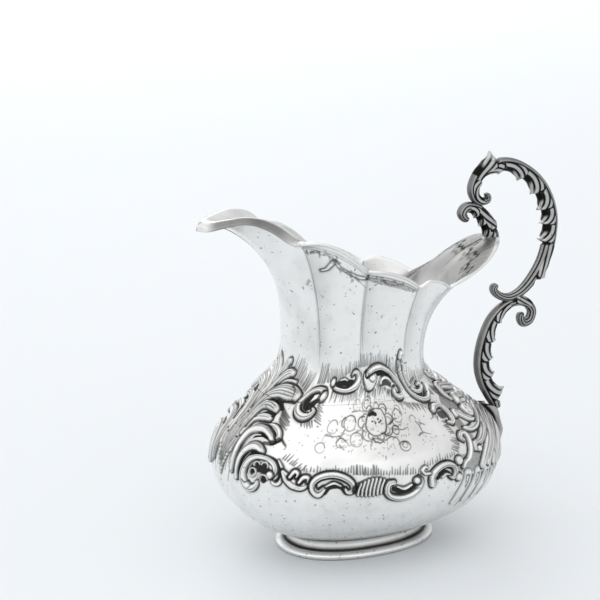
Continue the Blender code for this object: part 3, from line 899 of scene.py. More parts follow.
    def raise_lower_scrolls(self) -> None:
        """Scrolls, flutes and cradles along the lower border."""
        ridge, boss, line = self.relief.ridge, self.relief.boss, self.relief.line
        ridge([(30.8, 44.8), (32.6, 42.8), (35, 41), (37.6, 40.2), (40.2, 40.8)], [0.7, 1.7, 2.0, 1.7, 0.8],
              1.0, (0.1,))
        ridge([(33.6, 43.2), (35.2, 45.2), (36.4, 44.6), (36, 43.3)], [0.6, 0.75, 0.7, 0.4], 1.2)
        ridge([(37, 41.6), (38.4, 43.3), (40.2, 43.2), (40, 41.7)], [0.6, 0.8, 0.75, 0.4], 1.2)
        self.relief.ground([(46, 37.6), (47.4, 39.8), (50, 40.6), (52.2, 39.6), (53.4, 37.4)],
                           [0.8, 1.3, 1.6, 1.2, 0.7], 0.4, 1.0)
        ridge([(45.8, 39.4), (43.6, 37.6), (41.9, 39.2), (41.9, 41.6), (44.0, 43.4), (47.1, 44.2),
               (50.4, 44), (53.8, 42.6), (55.8, 40.6), (56, 38.4), (54.2, 37.8), (53.3, 39)],
              [0.8, 1.4, 1.2, 1.1, 1.1, 1.1, 1.1, 1.1, 1.1, 1.0, 0.9, 0.5], 1.3)
        line([(42.8, 41), (42.5, 39.3), (43.6, 38.4), (44.9, 38.9), (45, 40)], 0.26, 0.4, 1.0)
        ridge([(46.4, 40.2), (49.2, 41.3), (51.8, 40.2)], [0.35, 0.6, 0.35], 0.8, halo=0.5)
        self.relief.ground([(57.6, 38.6), (63, 39.4), (68, 37.4)], [2.6, 3.0, 2.4], 0.3, 0.9)
        count, first, pitch = 8, 57.9, 1.42
        for number in range(count):
            place = first + pitch * number
            swell = math.sin((number + 1.0) / (count + 1) * math.pi)
            ridge([(place + 1.2, 39.4 + 2.4 * swell), (place + 0.2, 38.4),
                   (place - 0.1, 36.8 - 0.9 * swell)], [0.5, 0.52, 0.45], 0.9, halo=0.5)
        self.relief.ground([(71.6, 37), (75.4, 36), (79.6, 37)], [1.2, 1.9, 1.2], 0.45, 1.0)
        ridge([(71.2, 39.6), (69.2, 39.2), (68.6, 36.8), (69.8, 34.8), (72.4, 33.7), (75.6, 33.4),
               (78.9, 34.2), (81.4, 36), (82.4, 38.2), (81.4, 39.8)],
              [0.8, 1.0, 1.0, 1.05, 1.1, 1.1, 1.1, 1.0, 0.9, 0.7], 1.3)
        boss((80.5, 38.9), 1.3, 1.3)
        line([(71.6, 38.4), (70.6, 37.2), (71.4, 35.9)], 0.26, 0.35, 1.0)
        ridge([(72.6, 37.8), (75.4, 36.7), (78.4, 37.8)], [0.35, 0.55, 0.35], 0.9, halo=0.5)
        self.relief.ground([(89.6, 38), (92, 39.6), (95, 38.6)], [0.9, 1.5, 0.9], 0.4, 1.0)
        ridge([(87.2, 36.4), (86.9, 38.6), (88, 40.6), (91.1, 42.1), (94.2, 42.4), (96.9, 41.2),
               (97.7, 38.8), (96.4, 37.1), (94.9, 37.9)], [1.3, 1.1, 1.1, 1.15, 1.1, 1.0, 0.95, 0.85, 0.5],
              1.3)
        ridge([(91.2, 38.2), (93, 39), (95, 38.4)], [0.3, 0.5, 0.3], 0.8, halo=0.5)
        ridge([(86, 40.6), (84, 40.8), (82.9, 42.2), (84.3, 43.2), (85.2, 42.4)],
              [0.5, 0.6, 0.6, 0.55, 0.35], 1.0, halo=0.4)
        boss((99.2, 36.6), 1.5, 1.1)
        boss((99.9, 42.6), 1.7, 1.2)
        ridge([(101.6, 39.7), (102.8, 41.2), (105, 42.1), (106.9, 44.6), (108.2, 48.2), (108.2, 51),
               (106.2, 51.6), (104.5, 50.2), (105.4, 48.9)],
              [0.5, 0.8, 0.9, 0.95, 0.95, 0.95, 0.9, 0.8, 0.5], 1.3)
        ridge([(101.2, 62.2), (103.4, 63.4), (106.2, 63.6), (108.5, 62.8), (109.1, 60.2), (108.4, 57.6),
               (106.4, 56.1), (104.9, 56.7)], [1.0, 1.3, 1.0, 0.95, 0.95, 0.9, 0.9, 0.6], 1.2)

    def raise_upper_scrolls(self) -> None:
        """The run of arches, cradles and tall scrolls along the shoulder."""
        ridge, boss, line, ground = self.relief.ridge, self.relief.boss, self.relief.line, self.relief.ground
        ground([(31.4, 71.2), (30.9, 69), (32.8, 68.4), (35.4, 70)], [1.0, 1.5, 1.6, 1.2], 0.5, 1.0)
        ridge([(36.6, 71.4), (37.6, 72.6), (34.8, 73.6), (32.2, 73.4), (29.8, 72.4), (28.2, 70.6),
               (27.6, 68.4), (28.6, 66.4), (30.6, 65.2), (33, 64.7), (35.4, 65.2), (36.7, 66.6),
               (35.6, 67.6)], [1.2, 1.2, 0.9, 0.9, 1.0, 1.2, 1.3, 1.4, 1.4, 1.4, 1.3, 1.0, 0.6], 1.4)
        boss((37.9, 71.5), 1.7, 1.3)
        line([(31.8, 68.6), (32.4, 66.6), (34.2, 66.6), (34.7, 65.4)], 0.3, 0.4, 1.0)
        ground([(43, 75.6), (47.6, 76), (52.6, 75.8)], [1.0, 1.4, 1.4], 0.45, 1.0)
        ridge([(40.9, 75.2), (43.4, 74.1), (48.3, 73.4), (51.7, 73.8), (54.9, 75), (56.4, 77), (55.4, 79),
               (53.4, 79.6), (51.9, 78.6)], [0.6, 0.75, 0.75, 0.8, 1.2, 1.6, 1.4, 1.0, 0.5], 1.4)
        line([(43.2, 75), (47.6, 74.6), (51.4, 75)], 0.24, 0.3, 1.0)
        line([(51.6, 78.6), (53.8, 79.2), (55.4, 78.3)], 0.26, 0.35, 1.0)
        ridge([(44.6, 76.9), (47.4, 77.3), (49.4, 76.7)], [0.3, 0.5, 0.3], 0.8, halo=0.5)
        boss((40.7, 76.2), 1.5, 1.2)
        ground([(69, 78.4), (72.6, 78.6), (76.3, 77.5), (79.6, 76)], [1.1, 1.2, 1.0, 0.6], 0.5, 1.0)
        ground([(72.6, 74.6), (76, 75), (79.4, 73.8)], [1.0, 1.3, 0.9], 0.35, 0.95)
        ridge([(62.2, 77.2), (64.4, 76), (66.2, 77.2)], [2.6, 3.3, 2.7], 1.3)
        ridge([(62.0, 78.6), (64.6, 80.0), (67.5, 80.7), (71.2, 80.9), (75.3, 79.8), (79.5, 78),
               (83.2, 75.9), (86.3, 73.6), (87.8, 71.4), (86.2, 69.9), (83.4, 69.7), (81.2, 70.8),
               (81, 72.3), (82.8, 72.9)],
              [0.9, 1.2, 1.2, 1.1, 1.05, 1.0, 1.0, 1.1, 1.1, 1.1, 1.1, 1.0, 0.8, 0.4], 1.5)
        line([(73, 79.2), (78, 77.6), (82, 75.2), (85, 72.4)], 0.22, 0.25, 0.9)
        line([(62.6, 79), (63.4, 76.8), (66, 75.8), (67.8, 77), (66.9, 78.8), (67.4, 79.8)], 0.34, 0.5, 1.0)
        line([(82, 72.4), (84.2, 71.6), (86, 72.2)], 0.26, 0.35, 1.0)
        ridge([(71.4, 74.8), (72.1, 76.3), (74.2, 76.9), (77.2, 76.3), (79.4, 74.9)],
              [0.5, 0.8, 0.75, 0.7, 0.4], 1.1, halo=0.45)
        ground([(91.4, 83), (92.4, 78.4), (96, 74.2)], [0.8, 0.9, 0.5], 0.35, 0.9)
        ridge([(88.0, 83.2), (87.6, 81.4), (88.1, 78.6), (89.6, 75.8), (92.1, 73.2), (94.7, 70.4),
               (97.4, 68.4), (100.5, 67), (104.7, 67), (108.9, 68.8), (111.6, 71.2)],
              [0.7, 0.9, 1.0, 1.0, 1.0, 1.0, 1.0, 1.0, 0.95, 0.85, 0.5], 1.4)
        ridge([(88.4, 83.2), (89.6, 84.8), (91.6, 84.2), (91.6, 82.2), (90.9, 79.4), (91.6, 76.8),
               (93.7, 73.9), (96.3, 71.4), (100, 69.8), (103.7, 70), (106.3, 71), (105.2, 72.4),
               (103.2, 71.8)], [0.8, 1.0, 0.9, 0.75, 0.7, 0.75, 0.85, 0.9, 0.9, 0.9, 0.8, 0.6, 0.3], 1.4)
        ground([(94.8, 71.6), (99, 73.4), (104, 74.6)], [0.5, 0.8, 0.8], 0.2, 0.8)
        ridge([(123.8, 61), (126, 62), (129, 62.4), (133, 61.6), (137, 62.2), (142, 63.2)],
              [1.2, 2.1, 2.4, 2.0, 1.1, 0.5], 1.5)
        line([(133.4, 62.6), (131.8, 61), (133.6, 60)], 0.3, 0.4, 1.0)
        turns = np.radians(np.linspace(-30, 330, 13))
        ridge(list(zip(122.4 + 1.9 * np.cos(turns), 57.6 + 1.9 * np.sin(turns))), [0.75, 0.75], 1.3)
        boss((122.4, 57.6), 0.7, 1.1, 0.4)

    def engrave_spray(self) -> None:
        """The flat engraved flower and its leaf sprays in the middle of the side."""
        line, rng = self.relief.line, self.rng

        def ring(x: float, y: float, radius: float, start: float, end: float, width: float = 0.16,
                 shade: float = 0.7, squash: float = 1.0) -> None:
            """Engrave an arc of a petal or a leaf, with a slight wobble.

            Args:
                x: the arc's centre along the strip.
                y: its centre up the strip.
                radius: its radius.
                start: where it starts, in degrees.
                end: where it ends, in degrees.
                width: half width of the cut, before the widening that every cut gets.
                shade: how dark it is, before the same.
                squash: its height as a share of its width.
            """
            stops = 9
            turns = np.radians(np.linspace(start, end, stops))
            wobble = 1 + 0.05 * rng.standard_normal(stops)
            arc = [x + radius * wobble * np.cos(turns), y + radius * squash * wobble * np.sin(turns)]
            line(np.stack(arc, -1), 1.2 * width, 0.1, min(1.3 * shade, 1.0))

        flower_x, flower_y, flower_radius, petal_reach = 67.5, 62, 5.0, 5.4
        ring(flower_x, flower_y, flower_radius, 95, 300, 0.36, 1.0)
        for turn in range(0, 360, 40):
            ring(flower_x + petal_reach * math.cos(math.radians(turn)),
                 flower_y + petal_reach * math.sin(math.radians(turn)), 1.5, turn - 95, turn + 95, 0.2, 0.8)
        ring(flower_x, flower_y, flower_radius, 290, 455, 0.34, 0.95)
        self.relief.ground([(64.4, 64.7), (66, 65.3), (67.6, 64.7)], [0.7, 1.1, 0.8], 0.08, 1.0)
        for x, y in ((65.6, 62.3), (68.4, 62.9), (68.8, 61.7), (67, 61.6), (69.6, 62.2)):
            self.relief.ground([(x, y), (x + 0.3, y)], [0.4, 0.35], 0.05, 1.0)
        for arc in (
                (60.9, 62.4, 2.0, 60, 300, 0.26, 0.9), (63.4, 57.9, 2.6, 150, 330, 0.22, 0.85),
                (67.6, 56.8, 2.6, 190, 350, 0.28, 0.9), (72.2, 58.6, 2.3, 210, 380, 0.26, 0.9),
                (73.4, 62.6, 2.0, -80, 90, 0.34, 0.95), (71.6, 66.4, 1.9, -20, 170, 0.28, 0.9),
                (63.4, 68.6, 2.4, 0, 360, 0.2, 0.8), (63.4, 68.6, 1.4, 40, 300, 0.2, 0.8),
                (58.2, 68.4, 1.9, 30, 350, 0.15, 0.6), (55.2, 62.4, 2.8, 0, 350, 0.2, 0.8),
                (53.2, 62.6, 1.8, 100, 260, 0.26, 0.9), (58.1, 56.2, 2.6, 0, 350, 0.17, 0.65),
                (47.6, 61.4, 2.3, 20, 340, 0.17, 0.65), (51.6, 55.4, 1.8, 20, 330, 0.18, 0.75),
                (43.4, 53.8, 2.0, 0, 340, 0.17, 0.65), (46.2, 56.6, 2.2, 20, 200, 0.15, 0.55),
                (66.6, 53.0, 3.0, 20, 200, 0.18, 0.7), (78, 51.8, 2.3, 0, 350, 0.22, 0.8, 0.8),
                (78, 52.2, 1.3, 0, 320, 0.18, 0.75, 0.8), (73.2, 53.4, 2.6, -20, 190, 0.17, 0.65),
                (78.6, 63.2, 2.6, 0, 330, 0.2, 0.75), (79.8, 65.4, 1.8, -60, 190, 0.18, 0.7),
                (75.8, 58.0, 1.6, 20, 340, 0.24, 0.85), (77.0, 60.8, 1.6, 60, 330, 0.2, 0.8),
                (86.6, 60.6, 1.8, 10, 200, 0.15, 0.6), (90.0, 57.0, 1.7, 40, 250, 0.15, 0.6)):
            ring(*arc)
        for stem in (((57, 58.6), (60, 59.6), (62.4, 59.4)), ((70, 54.8), (73, 55.8), (76, 55.4)),
                     ((75, 58.6), (79, 57.8), (82.4, 58.4)), ((86, 54.6), (88.4, 55.4), (92, 54.2)),
                     ((87.6, 60), (88.6, 57.4), (88, 54.6)), ((89, 59.4), (91.6, 58.2)),
                     ((45, 58.4), (49.6, 57.8), (53.6, 58.8)), ((53, 60), (51.6, 57.6), (49.8, 55.4)),
                     ((50.4, 58), (53, 56.6), (55, 54.4)),
                     ((56, 66.4), (59.6, 66.6), (62, 66)), ((51.2, 54.6), (52.2, 53.4), (53, 52.6))):
            line(stem, 0.24, 0.08, 0.85)
        fine_strokes, length = 130, 0.9
        for _ in range(fine_strokes):
            x, y = rng.normal(66, 12), rng.normal(58.5, 4.2)
            turn = rng.uniform(0, math.pi)
            tip = (x + length * math.cos(turn), y + length * math.sin(turn))
            line([(x, y), tip], 0.16, 0.05, 0.6, smooth=False)


# ------------------------------------------------------------------ bowl

@dataclass
class Bowl:
    """The chased belly: four outer quarters and the plain inside.

    Attributes:
        form: the jug's form.
        chasing: the belly's pattern.
        finish: the outside's material.
        inside_finish: the inside's material.
        columns: faces along a quarter.
        rows: faces up a quarter.
        split: run from the spout at which the front and rear quarters meet.
        plain_rows: share of the rows spent on the plain base.
    """

    form: JugForm
    chasing: BellyChasing
    finish: bpy.types.Material
    inside_finish: bpy.types.Material
    columns: int = 320
    rows: int = 300
    split: float = 73.0
    plain_rows: float = 0.1

    def outside(self, side: Side, front: bool) -> bpy.types.Object:
        """Build one quarter of the chased skin.

        Args:
            side: which side of the mirror plane.
            front: the quarter under the spout, or the one under the handle.

        Returns:
            The quarter, dressed.
        """
        form, step = self.form, 0.08
        start, end = (0.0, self.split) if front else (self.split, form.half_girth)

        def mapping(across: Array, upward: Array) -> tuple[Array, Array]:
            """Place on the belly, pushed out by the chasing.

            Args:
                across: places along the quarter, from 0 to 1.
                upward: places up it, from 0 to 1.

            Returns:
                The points and the darkness there.
            """
            along = start + across * (end - start)
            share, chased = self.plain_rows, form.shoulder - PLAIN_CLIMB
            up = np.where(upward < share, upward * (PLAIN_CLIMB / share),
                          PLAIN_CLIMB + (upward - share) / (1 - share) * chased)
            point = form.bowl(along, up, side)
            run = (form.bowl(np.minimum(along + step, form.half_girth), up, side)
                   - form.bowl(np.maximum(along - step, 0), up, side))
            climb = (form.bowl(along, np.minimum(up + step, form.shoulder), side)
                     - form.bowl(along, np.maximum(up - step, 0), side))
            out = unit(np.cross(run, climb)) * -side.value
            height, shade = self.chasing.relief.sample(along, up)
            fade = smooth_step(up, PLAIN_CLIMB, PLAIN_CLIMB + 3)
            settle = 0.8 * smooth_step(along, 118, 130) + 0.6 * (1 - smooth_step(along, 10, 20))
            settle = settle * (1 - smooth_step(up, form.shoulder - 8, form.shoulder - 1))
            return point + out * ((height - settle) * fade)[:, None], np.clip(shade * fade, 0, 1) ** 0.75

        name = f"bowl_{'front' if front else 'rear'}_{side.name.lower()}"
        piece = mapped_surface(name, self.columns, self.rows, mapping, inward=side is Side.FAR)
        return dress(piece, self.finish, "bowl")

    def inside(self) -> bpy.types.Object:
        """Build the smooth inner wall and floor."""
        form, floor_rows, shade = self.form, 0.2, 0.12

        def mapping(across: Array, upward: Array) -> tuple[Array, Array]:
            """Place on the inner wall; the lowest rows close the floor.

            Args:
                across: places round the wall, from 0 to 1.
                upward: places up it, from 0 to 1.

            Returns:
                The points and the darkness there.
            """
            angle = across * math.tau - math.pi
            along = np.interp(-np.abs(angle), -form.turn, form.reach)
            up = np.clip((upward - floor_rows) / (1 - floor_rows), 0, 1) * form.shoulder
            point = form.bowl(along, up, Side.FAR)
            inset = 1 - (SHEET + INSIDE_GAP) / np.hypot(point[:, 0], point[:, 1])
            shrink = inset * np.clip(upward / floor_rows, 0, 1)
            point[:, 0] *= shrink
            point[:, 1] *= shrink * np.where(angle < 0, -1.0, 1.0)
            point[:, 2] += SHEET * (1 - smooth_step(upward, floor_rows, 1.0))
            return point, np.full(len(point), shade)

        piece = mapped_surface("bowl_inside", 180, 60, mapping, inward=True)
        return dress(piece, self.inside_finish, "bowl")


# ------------------------------------------------------------------ neck and rim

@dataclass
class Neck:
    """The panelled neck with its spout: two outer halves with a rolled edge, the inside and the rim wire.

    Attributes:
        form: the jug's form.
        chasing: the belly's pattern, whose upper border runs on over the seam.
        finish: the outside's material.
        inside_finish: the inside's material.
        columns: faces round a half.
        rows: faces up a half.
        plain_radius: radius of the edge's roll along the sides.
        plain_turn: how far the roll turns there, in radians.
        roll_radius: radius of the roll at the spout.
        roll_turn: how far the roll turns at the spout, in radians.
        wire_radius: half the rim wire's thickness.
    """

    form: JugForm
    chasing: BellyChasing
    finish: bpy.types.Material
    inside_finish: bpy.types.Material
    columns: int = 400
    rows: int = 230
    plain_radius: float = 0.35
    plain_turn: float = 0.9
    roll_radius: float = 1.7
    roll_turn: float = 2.1
    wire_radius: float = 0.6

    def lip(self, degrees: Array) -> tuple[Array, Array]:
        """Size the rolled edge.

        Args:
            degrees: angles from the handle.

        Returns:
            The roll's radius and its turn in radians at each angle.
        """
        spout = smooth_step(degrees, 118, 150)
        handle = 1 - smooth_step(degrees, 8, 34)
        radius = self.plain_radius + (self.roll_radius - self.plain_radius) * spout + 0.5 * handle
        turn = self.plain_turn + (self.roll_turn - self.plain_turn) * spout
        return radius, turn

    def spout_sides(self, degrees: Array) -> Array:
        """How far an angle belongs to the sides of the spout, 0 at its tip and along the neck."""
        return smooth_step(degrees, 140, 150) * (1 - smooth_step(degrees, 170, 176))

    def surface(self, angle: Array, rise: Array, inset: float) -> Array:
        """Points of the neck's skin, with its rolled edge.

        Args:
            angle: angle from the handle in radians, positive on the far side.
            rise: 0 at the bowl to 1 where the roll starts, then 1 to 2 round the roll.
            inset: how far inside the outer face, along the sheet's normal.

        Returns:
            One row of x, y, z for each place.
        """
        degrees = np.degrees(off_zero(angle))
        point, tangent, out = self.form.neck(angle, np.minimum(rise, 1.0))
        if inset:
            step = 0.004
            side, _, _ = self.form.neck(angle + step, np.minimum(rise, 1.0))
            other, _, _ = self.form.neck(angle - step, np.minimum(rise, 1.0))
            above, _, _ = self.form.neck(angle, np.minimum(rise + step, 1.0))
            below, _, _ = self.form.neck(angle, np.maximum(np.minimum(rise, 1.0) - step, 0.0))
            normal = unit(np.cross(side - other, above - below))
            blend = smooth_step(rise, 0.9, 1.0)[:, None]
            normal = unit(normal * (1 - blend) + out * blend)
            point = point - normal * inset
        radius, turn = self.lip(degrees)
        settle = (radius * smooth_step(rise, 0.6, 1.0))[:, None]
        point = point - tangent * settle - out * settle * 0.9
        swing = np.clip(rise - 1, 0, 1) * turn
        full = (radius + inset)[:, None]
        roll = out * (full * (1 - np.cos(swing))[:, None]) + tangent * (full * np.sin(swing)[:, None])
        return point + roll

    def edge_chasing(self) -> Relief:
        """Wavy floral border just under the rim.

        Returns:
            A strip whose x is the angle from the handle in degrees / 2 and whose y is the drop from the rim.
        """
        relief = Relief(90.0, 24.0, 0.15)
        rng = np.random.default_rng(BORDER_SEED)
        relief.ground([(37.6, 2.0), (41, 3.2), (46, 3.4), (50, 3.2), (53.2, 2.4)],
                      [0.6, 1.3, 1.6, 1.5, 0.9], 0.15, 0.62)
        relief.ridge([(54.6, 2.8), (56.6, 5.0), (59.6, 6.6), (62.2, 6.4), (63.6, 5.2), (64.8, 7.2),
                      (66.2, 9.6), (68, 10.8)], [0.3, 0.42, 0.5, 0.42, 0.5, 0.42, 0.35, 0.25], 0.35,
                     halo=0.5, halo_shade=0.85)
        relief.ridge([(37, 1.2), (41, 1.7), (46, 1.9), (50, 1.7), (53.6, 1.2)],
                     [0.25, 0.35, 0.35, 0.35, 0.25], 0.25, halo=0.4, halo_shade=0.8)
        relief.ridge([(55, 1.2), (60, 1.8), (66, 1.9), (71, 1.2)], [0.25, 0.35, 0.35, 0.25], 0.25, halo=0.35,
                     halo_shade=0.5)
        for place, depth, spread, count in ((46, 3.0, (4.0, 0.8), 46), (63.4, 5.0, (0.9, 0.8), 16),
                                            (67.0, 3.0, (2.2, 0.7), 22), (58, 6.6, (2.4, 0.7), 16)):
            for _ in range(count):
                x, y = place + rng.normal(0, spread[0]), depth + rng.normal(0, spread[1])
                relief.line([(x, y), (x + rng.normal(0, 0.9), y + rng.normal(0, 0.8))], 0.28, 0.08, 0.85)
        relief.soften()
        return relief

    def outside(self, side: Side) -> bpy.types.Object:
        """Build one half of the outer skin.

        Args:
            side: which half.

        Returns:
            The half, dressed.
        """
        form, border, seam_height = self.form, self.edge_chasing(), 61.8

        def mapping(across: Array, upward: Array) -> tuple[Array, Array]:
            """Place on the neck, pushed out by the chasing.

            Args:
                across: places round the half, from 0 to 1.
                upward: places up it, from 0 to 1.

            Returns:
                The points and the darkness there.
            """
            angle = (1 - across) * math.pi * side.value
            rise = np.interp(upward, [0, 0.36, 0.86, 1], [0, 0.28, 1, 2])
            point = self.surface(angle, rise, 0.0)
            out = unit(point - self.surface(angle, rise, 0.2))
            along = np.interp(-np.abs(angle), -form.turn, form.reach)
            height, shade = self.chasing.relief.sample(along, form.shoulder + point[:, 2] - seam_height)
            fade = 1 - smooth_step(rise, 0.55, 0.7)
            drop = np.maximum(1 - rise, 0) * RIM_DROP
            degrees = np.degrees(np.abs(angle))
            edge_height, edge_shade = border.sample(degrees / 2, drop)
            edge_fade = smooth_step(rise, 0.6, 0.7) * (1 - smooth_step(rise, 0.985, 1.0))
            height = height * fade + edge_height * edge_fade
            shade = shade * fade + edge_shade * edge_fade
            # Painted shadow under the spout's rolled lip: the outer skin darkens just below the roll.
            painted_lip_shadow = (smooth_step(degrees, 128, 150) * smooth_step(rise, 0.93, 1.0)
                         * (1 - smooth_step(rise, 1.5, 1.8)))
            shade = np.maximum(shade, 0.62 * painted_lip_shadow)
            # Painted shade: each panel darkens towards the crease it runs into, standing in for the changing
            # reflection across the panels.
            short_of = np.min([np.where(degrees < line, line - degrees, 90.0)
                               for line in form.crease_angles], axis=0)
            panel = 0.26 * np.exp(-short_of / 8) * smooth_step(rise, 0.1, 0.4)
            crease_line = np.exp(-(form.from_crease(degrees) / 0.6) ** 2)
            shade = shade + panel + 0.35 * crease_line * smooth_step(rise, 0.2, 0.5)
            return point + out * height[:, None], np.clip(shade, 0, 1)

        name = f"neck_side_{side.name.lower()}"
        piece = mapped_surface(name, self.columns, self.rows, mapping, inward=side is Side.FAR)
        return dress(piece, self.finish, "neck_and_spout")

    def inside(self) -> bpy.types.Object:
        """Build the inner wall, up round the rolled edge."""
        def mapping(across: Array, upward: Array) -> tuple[Array, Array]:
            """Place on the inner wall, darker and chased under the handle.

            Args:
                across: places round the wall, from 0 to 1.
                upward: places up it, from 0 to 1.

            Returns:
                The points and the darkness there.
            """
            angle = across * math.tau - math.pi
            rise = np.interp(upward, [0, 0.8, 1], [0, 1, 2])
            point = self.surface(angle, rise, SHEET)
            degrees = np.degrees(np.abs(angle))
            rear = 1 - smooth_step(degrees, 32, 42)
            drop = np.maximum(1 - rise, 0) * RIM_DROP
            wave = 5.5 + 1.3 * np.sin(0.62 * degrees * np.sign(angle)) + 0.6 * np.sin(1.7 * degrees)
            border = np.exp(-((drop - wave) / 0.45) ** 2) + 0.5 * np.exp(-((drop - wave - 1.8) / 0.5) ** 2)
            speck = 0.5 + 0.5 * np.sin(3.1 * degrees + 5 * np.sin(rise * 160)) * np.sin(rise * 410 + degrees)
            chased = (0.5 + 0.2 * speck * (drop < wave) + 0.5 * border) * smooth_step(rise, 0.45, 0.7)
            worn = 1 - smooth_step(rise, 0.97, 1.05)
            # Painted shadow on the underside of the roll along the spout's sides.
            rolled = 0.66 * self.spout_sides(degrees) * smooth_step(rise, 1.3, 1.55)
            return point, 0.06 + 0.12 * self.form.crease(degrees) + rear * chased * worn + rolled

        piece = mapped_surface("neck_inside", 480, 120, mapping, inward=True)
        return dress(piece, self.inside_finish, "neck_and_spout")

    def rim_wire(self) -> bpy.types.Object:
        """Build the wire that finishes the rolled edge."""
        def mapping(across: Array, upward: Array) -> tuple[Array, Array]:
            """Place on the wire.

            Args:
                across: places along the wire, from 0 to 1.
                upward: places round its section, from 0 to 1.

            Returns:
                The points and the darkness there.
            """
            angle = across * math.tau - math.pi
            full = np.full_like(angle, 2.0)
            middle = self.surface(angle, full, SHEET / 2)
            before = self.surface(angle, full - 0.05, SHEET / 2)
            across_sheet = unit(self.surface(angle, full, 0.0) - self.surface(angle, full, SHEET))
            onward = unit(middle - before)
            turn = upward * math.tau
            point = (middle + across_sheet * (self.wire_radius * np.cos(turn))[:, None]
                     - onward * (self.wire_radius * np.sin(turn))[:, None])
            # Darker along the spout's sides: painted shadow, continuing the dark band under the roll across
            # the wire.
            return point, 0.08 + 0.6 * self.spout_sides(np.degrees(np.abs(angle)))

        piece = mapped_surface("rim_wire", 720, 16, mapping)
        return dress(piece, self.finish, "rim_wire")


# ------------------------------------------------------------------ foot

@dataclass
class Foot:
    """The oval foot: a bead that stands on the table and a drawn-in collar.

    Attributes:
        finish: the material.
        bead_half: half length and half width of the bead.
        collar_half: half length and half width of the collar.
        bead_profile: the bead's section, as offset, height and darkness of each corner; the darkness is
            painted shadow under the bead and where it meets the collar.
        collar_profile: the collar's section, likewise, with painted shadow lines where it meets the bead and
            the bowl.
    """

    finish: bpy.types.Material
    bead_half: tuple[float, float] = (31.0, 21.5)
    collar_half: tuple[float, float] = (27.2, 18.3)
    # Darkness column: painted shadow at the joints between bead, collar and bowl, and under the bead.
    bead_profile: tuple = (
        (-3.8, 0.0, 0.5), (-2.2, 0.0, 0.5), (-0.9, 0.0, 0.5), (-0.2, 0.45, 0.3), (0.0, 1.2, 0.05),
        (-0.25, 1.95, 0.05), (-1.1, 2.6, 0.15), (-2.0, 2.75, 0.35), (-3.2, 2.75, 1.0), (-3.8, 2.75, 1.0))
    collar_profile: tuple = (
        (0.3, 2.6, 1.0), (0.0, 3.1, 0.95), (-0.5, 4.0, 0.4), (-0.75, 5.0, 0.12), (-0.5, 6.1, 0.25),
        (0.1, 7.0, 0.9), (0.4, 7.6, 1.0), (-1.0, 7.6, 0.8), (-1.6, 5.0, 0.5), (-1.0, 2.6, 0.8))

    def ring(self, node: str, half: tuple[float, float],
             profile: Sequence[tuple[float, float, float]]) -> bpy.types.Object:
        """Run a profile round and stretch it to the oval.

        Args:
            node: the frame's node, whose name the piece takes.
            half: half length and half width of the oval that the offsets are measured from.
            profile: outward offset, height and darkness of each corner, in order round the section.

        Returns:
            The ring, dressed.
        """
        rows = 5 * len(profile)
        line = smooth_curve(list(profile) + [profile[0]], rows)

        def mapping(across: Array, upward: Array) -> tuple[Array, Array]:
            """Place on the ring.

            Args:
                across: places round the oval, from 0 to 1.
                upward: places round the section, from 0 to 1.

            Returns:
                The points and the darkness there.
            """
            stops = np.linspace(0, 1, len(line))
            offset, height, shade = (np.interp(upward, stops, values) for values in line.T)
            x, y = oval(across * math.tau)
            points = [(half[0] + offset) * x, (half[1] + offset) * y, np.maximum(height, 0)]
            return np.stack(points, -1), shade

        return dress(mapped_surface(node, 360, rows, mapping), self.finish, node)

    def build(self) -> list[bpy.types.Object]:
        """Build the bead and the collar."""
        return [self.ring("foot_bead", self.bead_half, self.bead_profile),
                self.ring("foot_collar", self.collar_half, self.collar_profile)]


# ------------------------------------------------------------------ handle

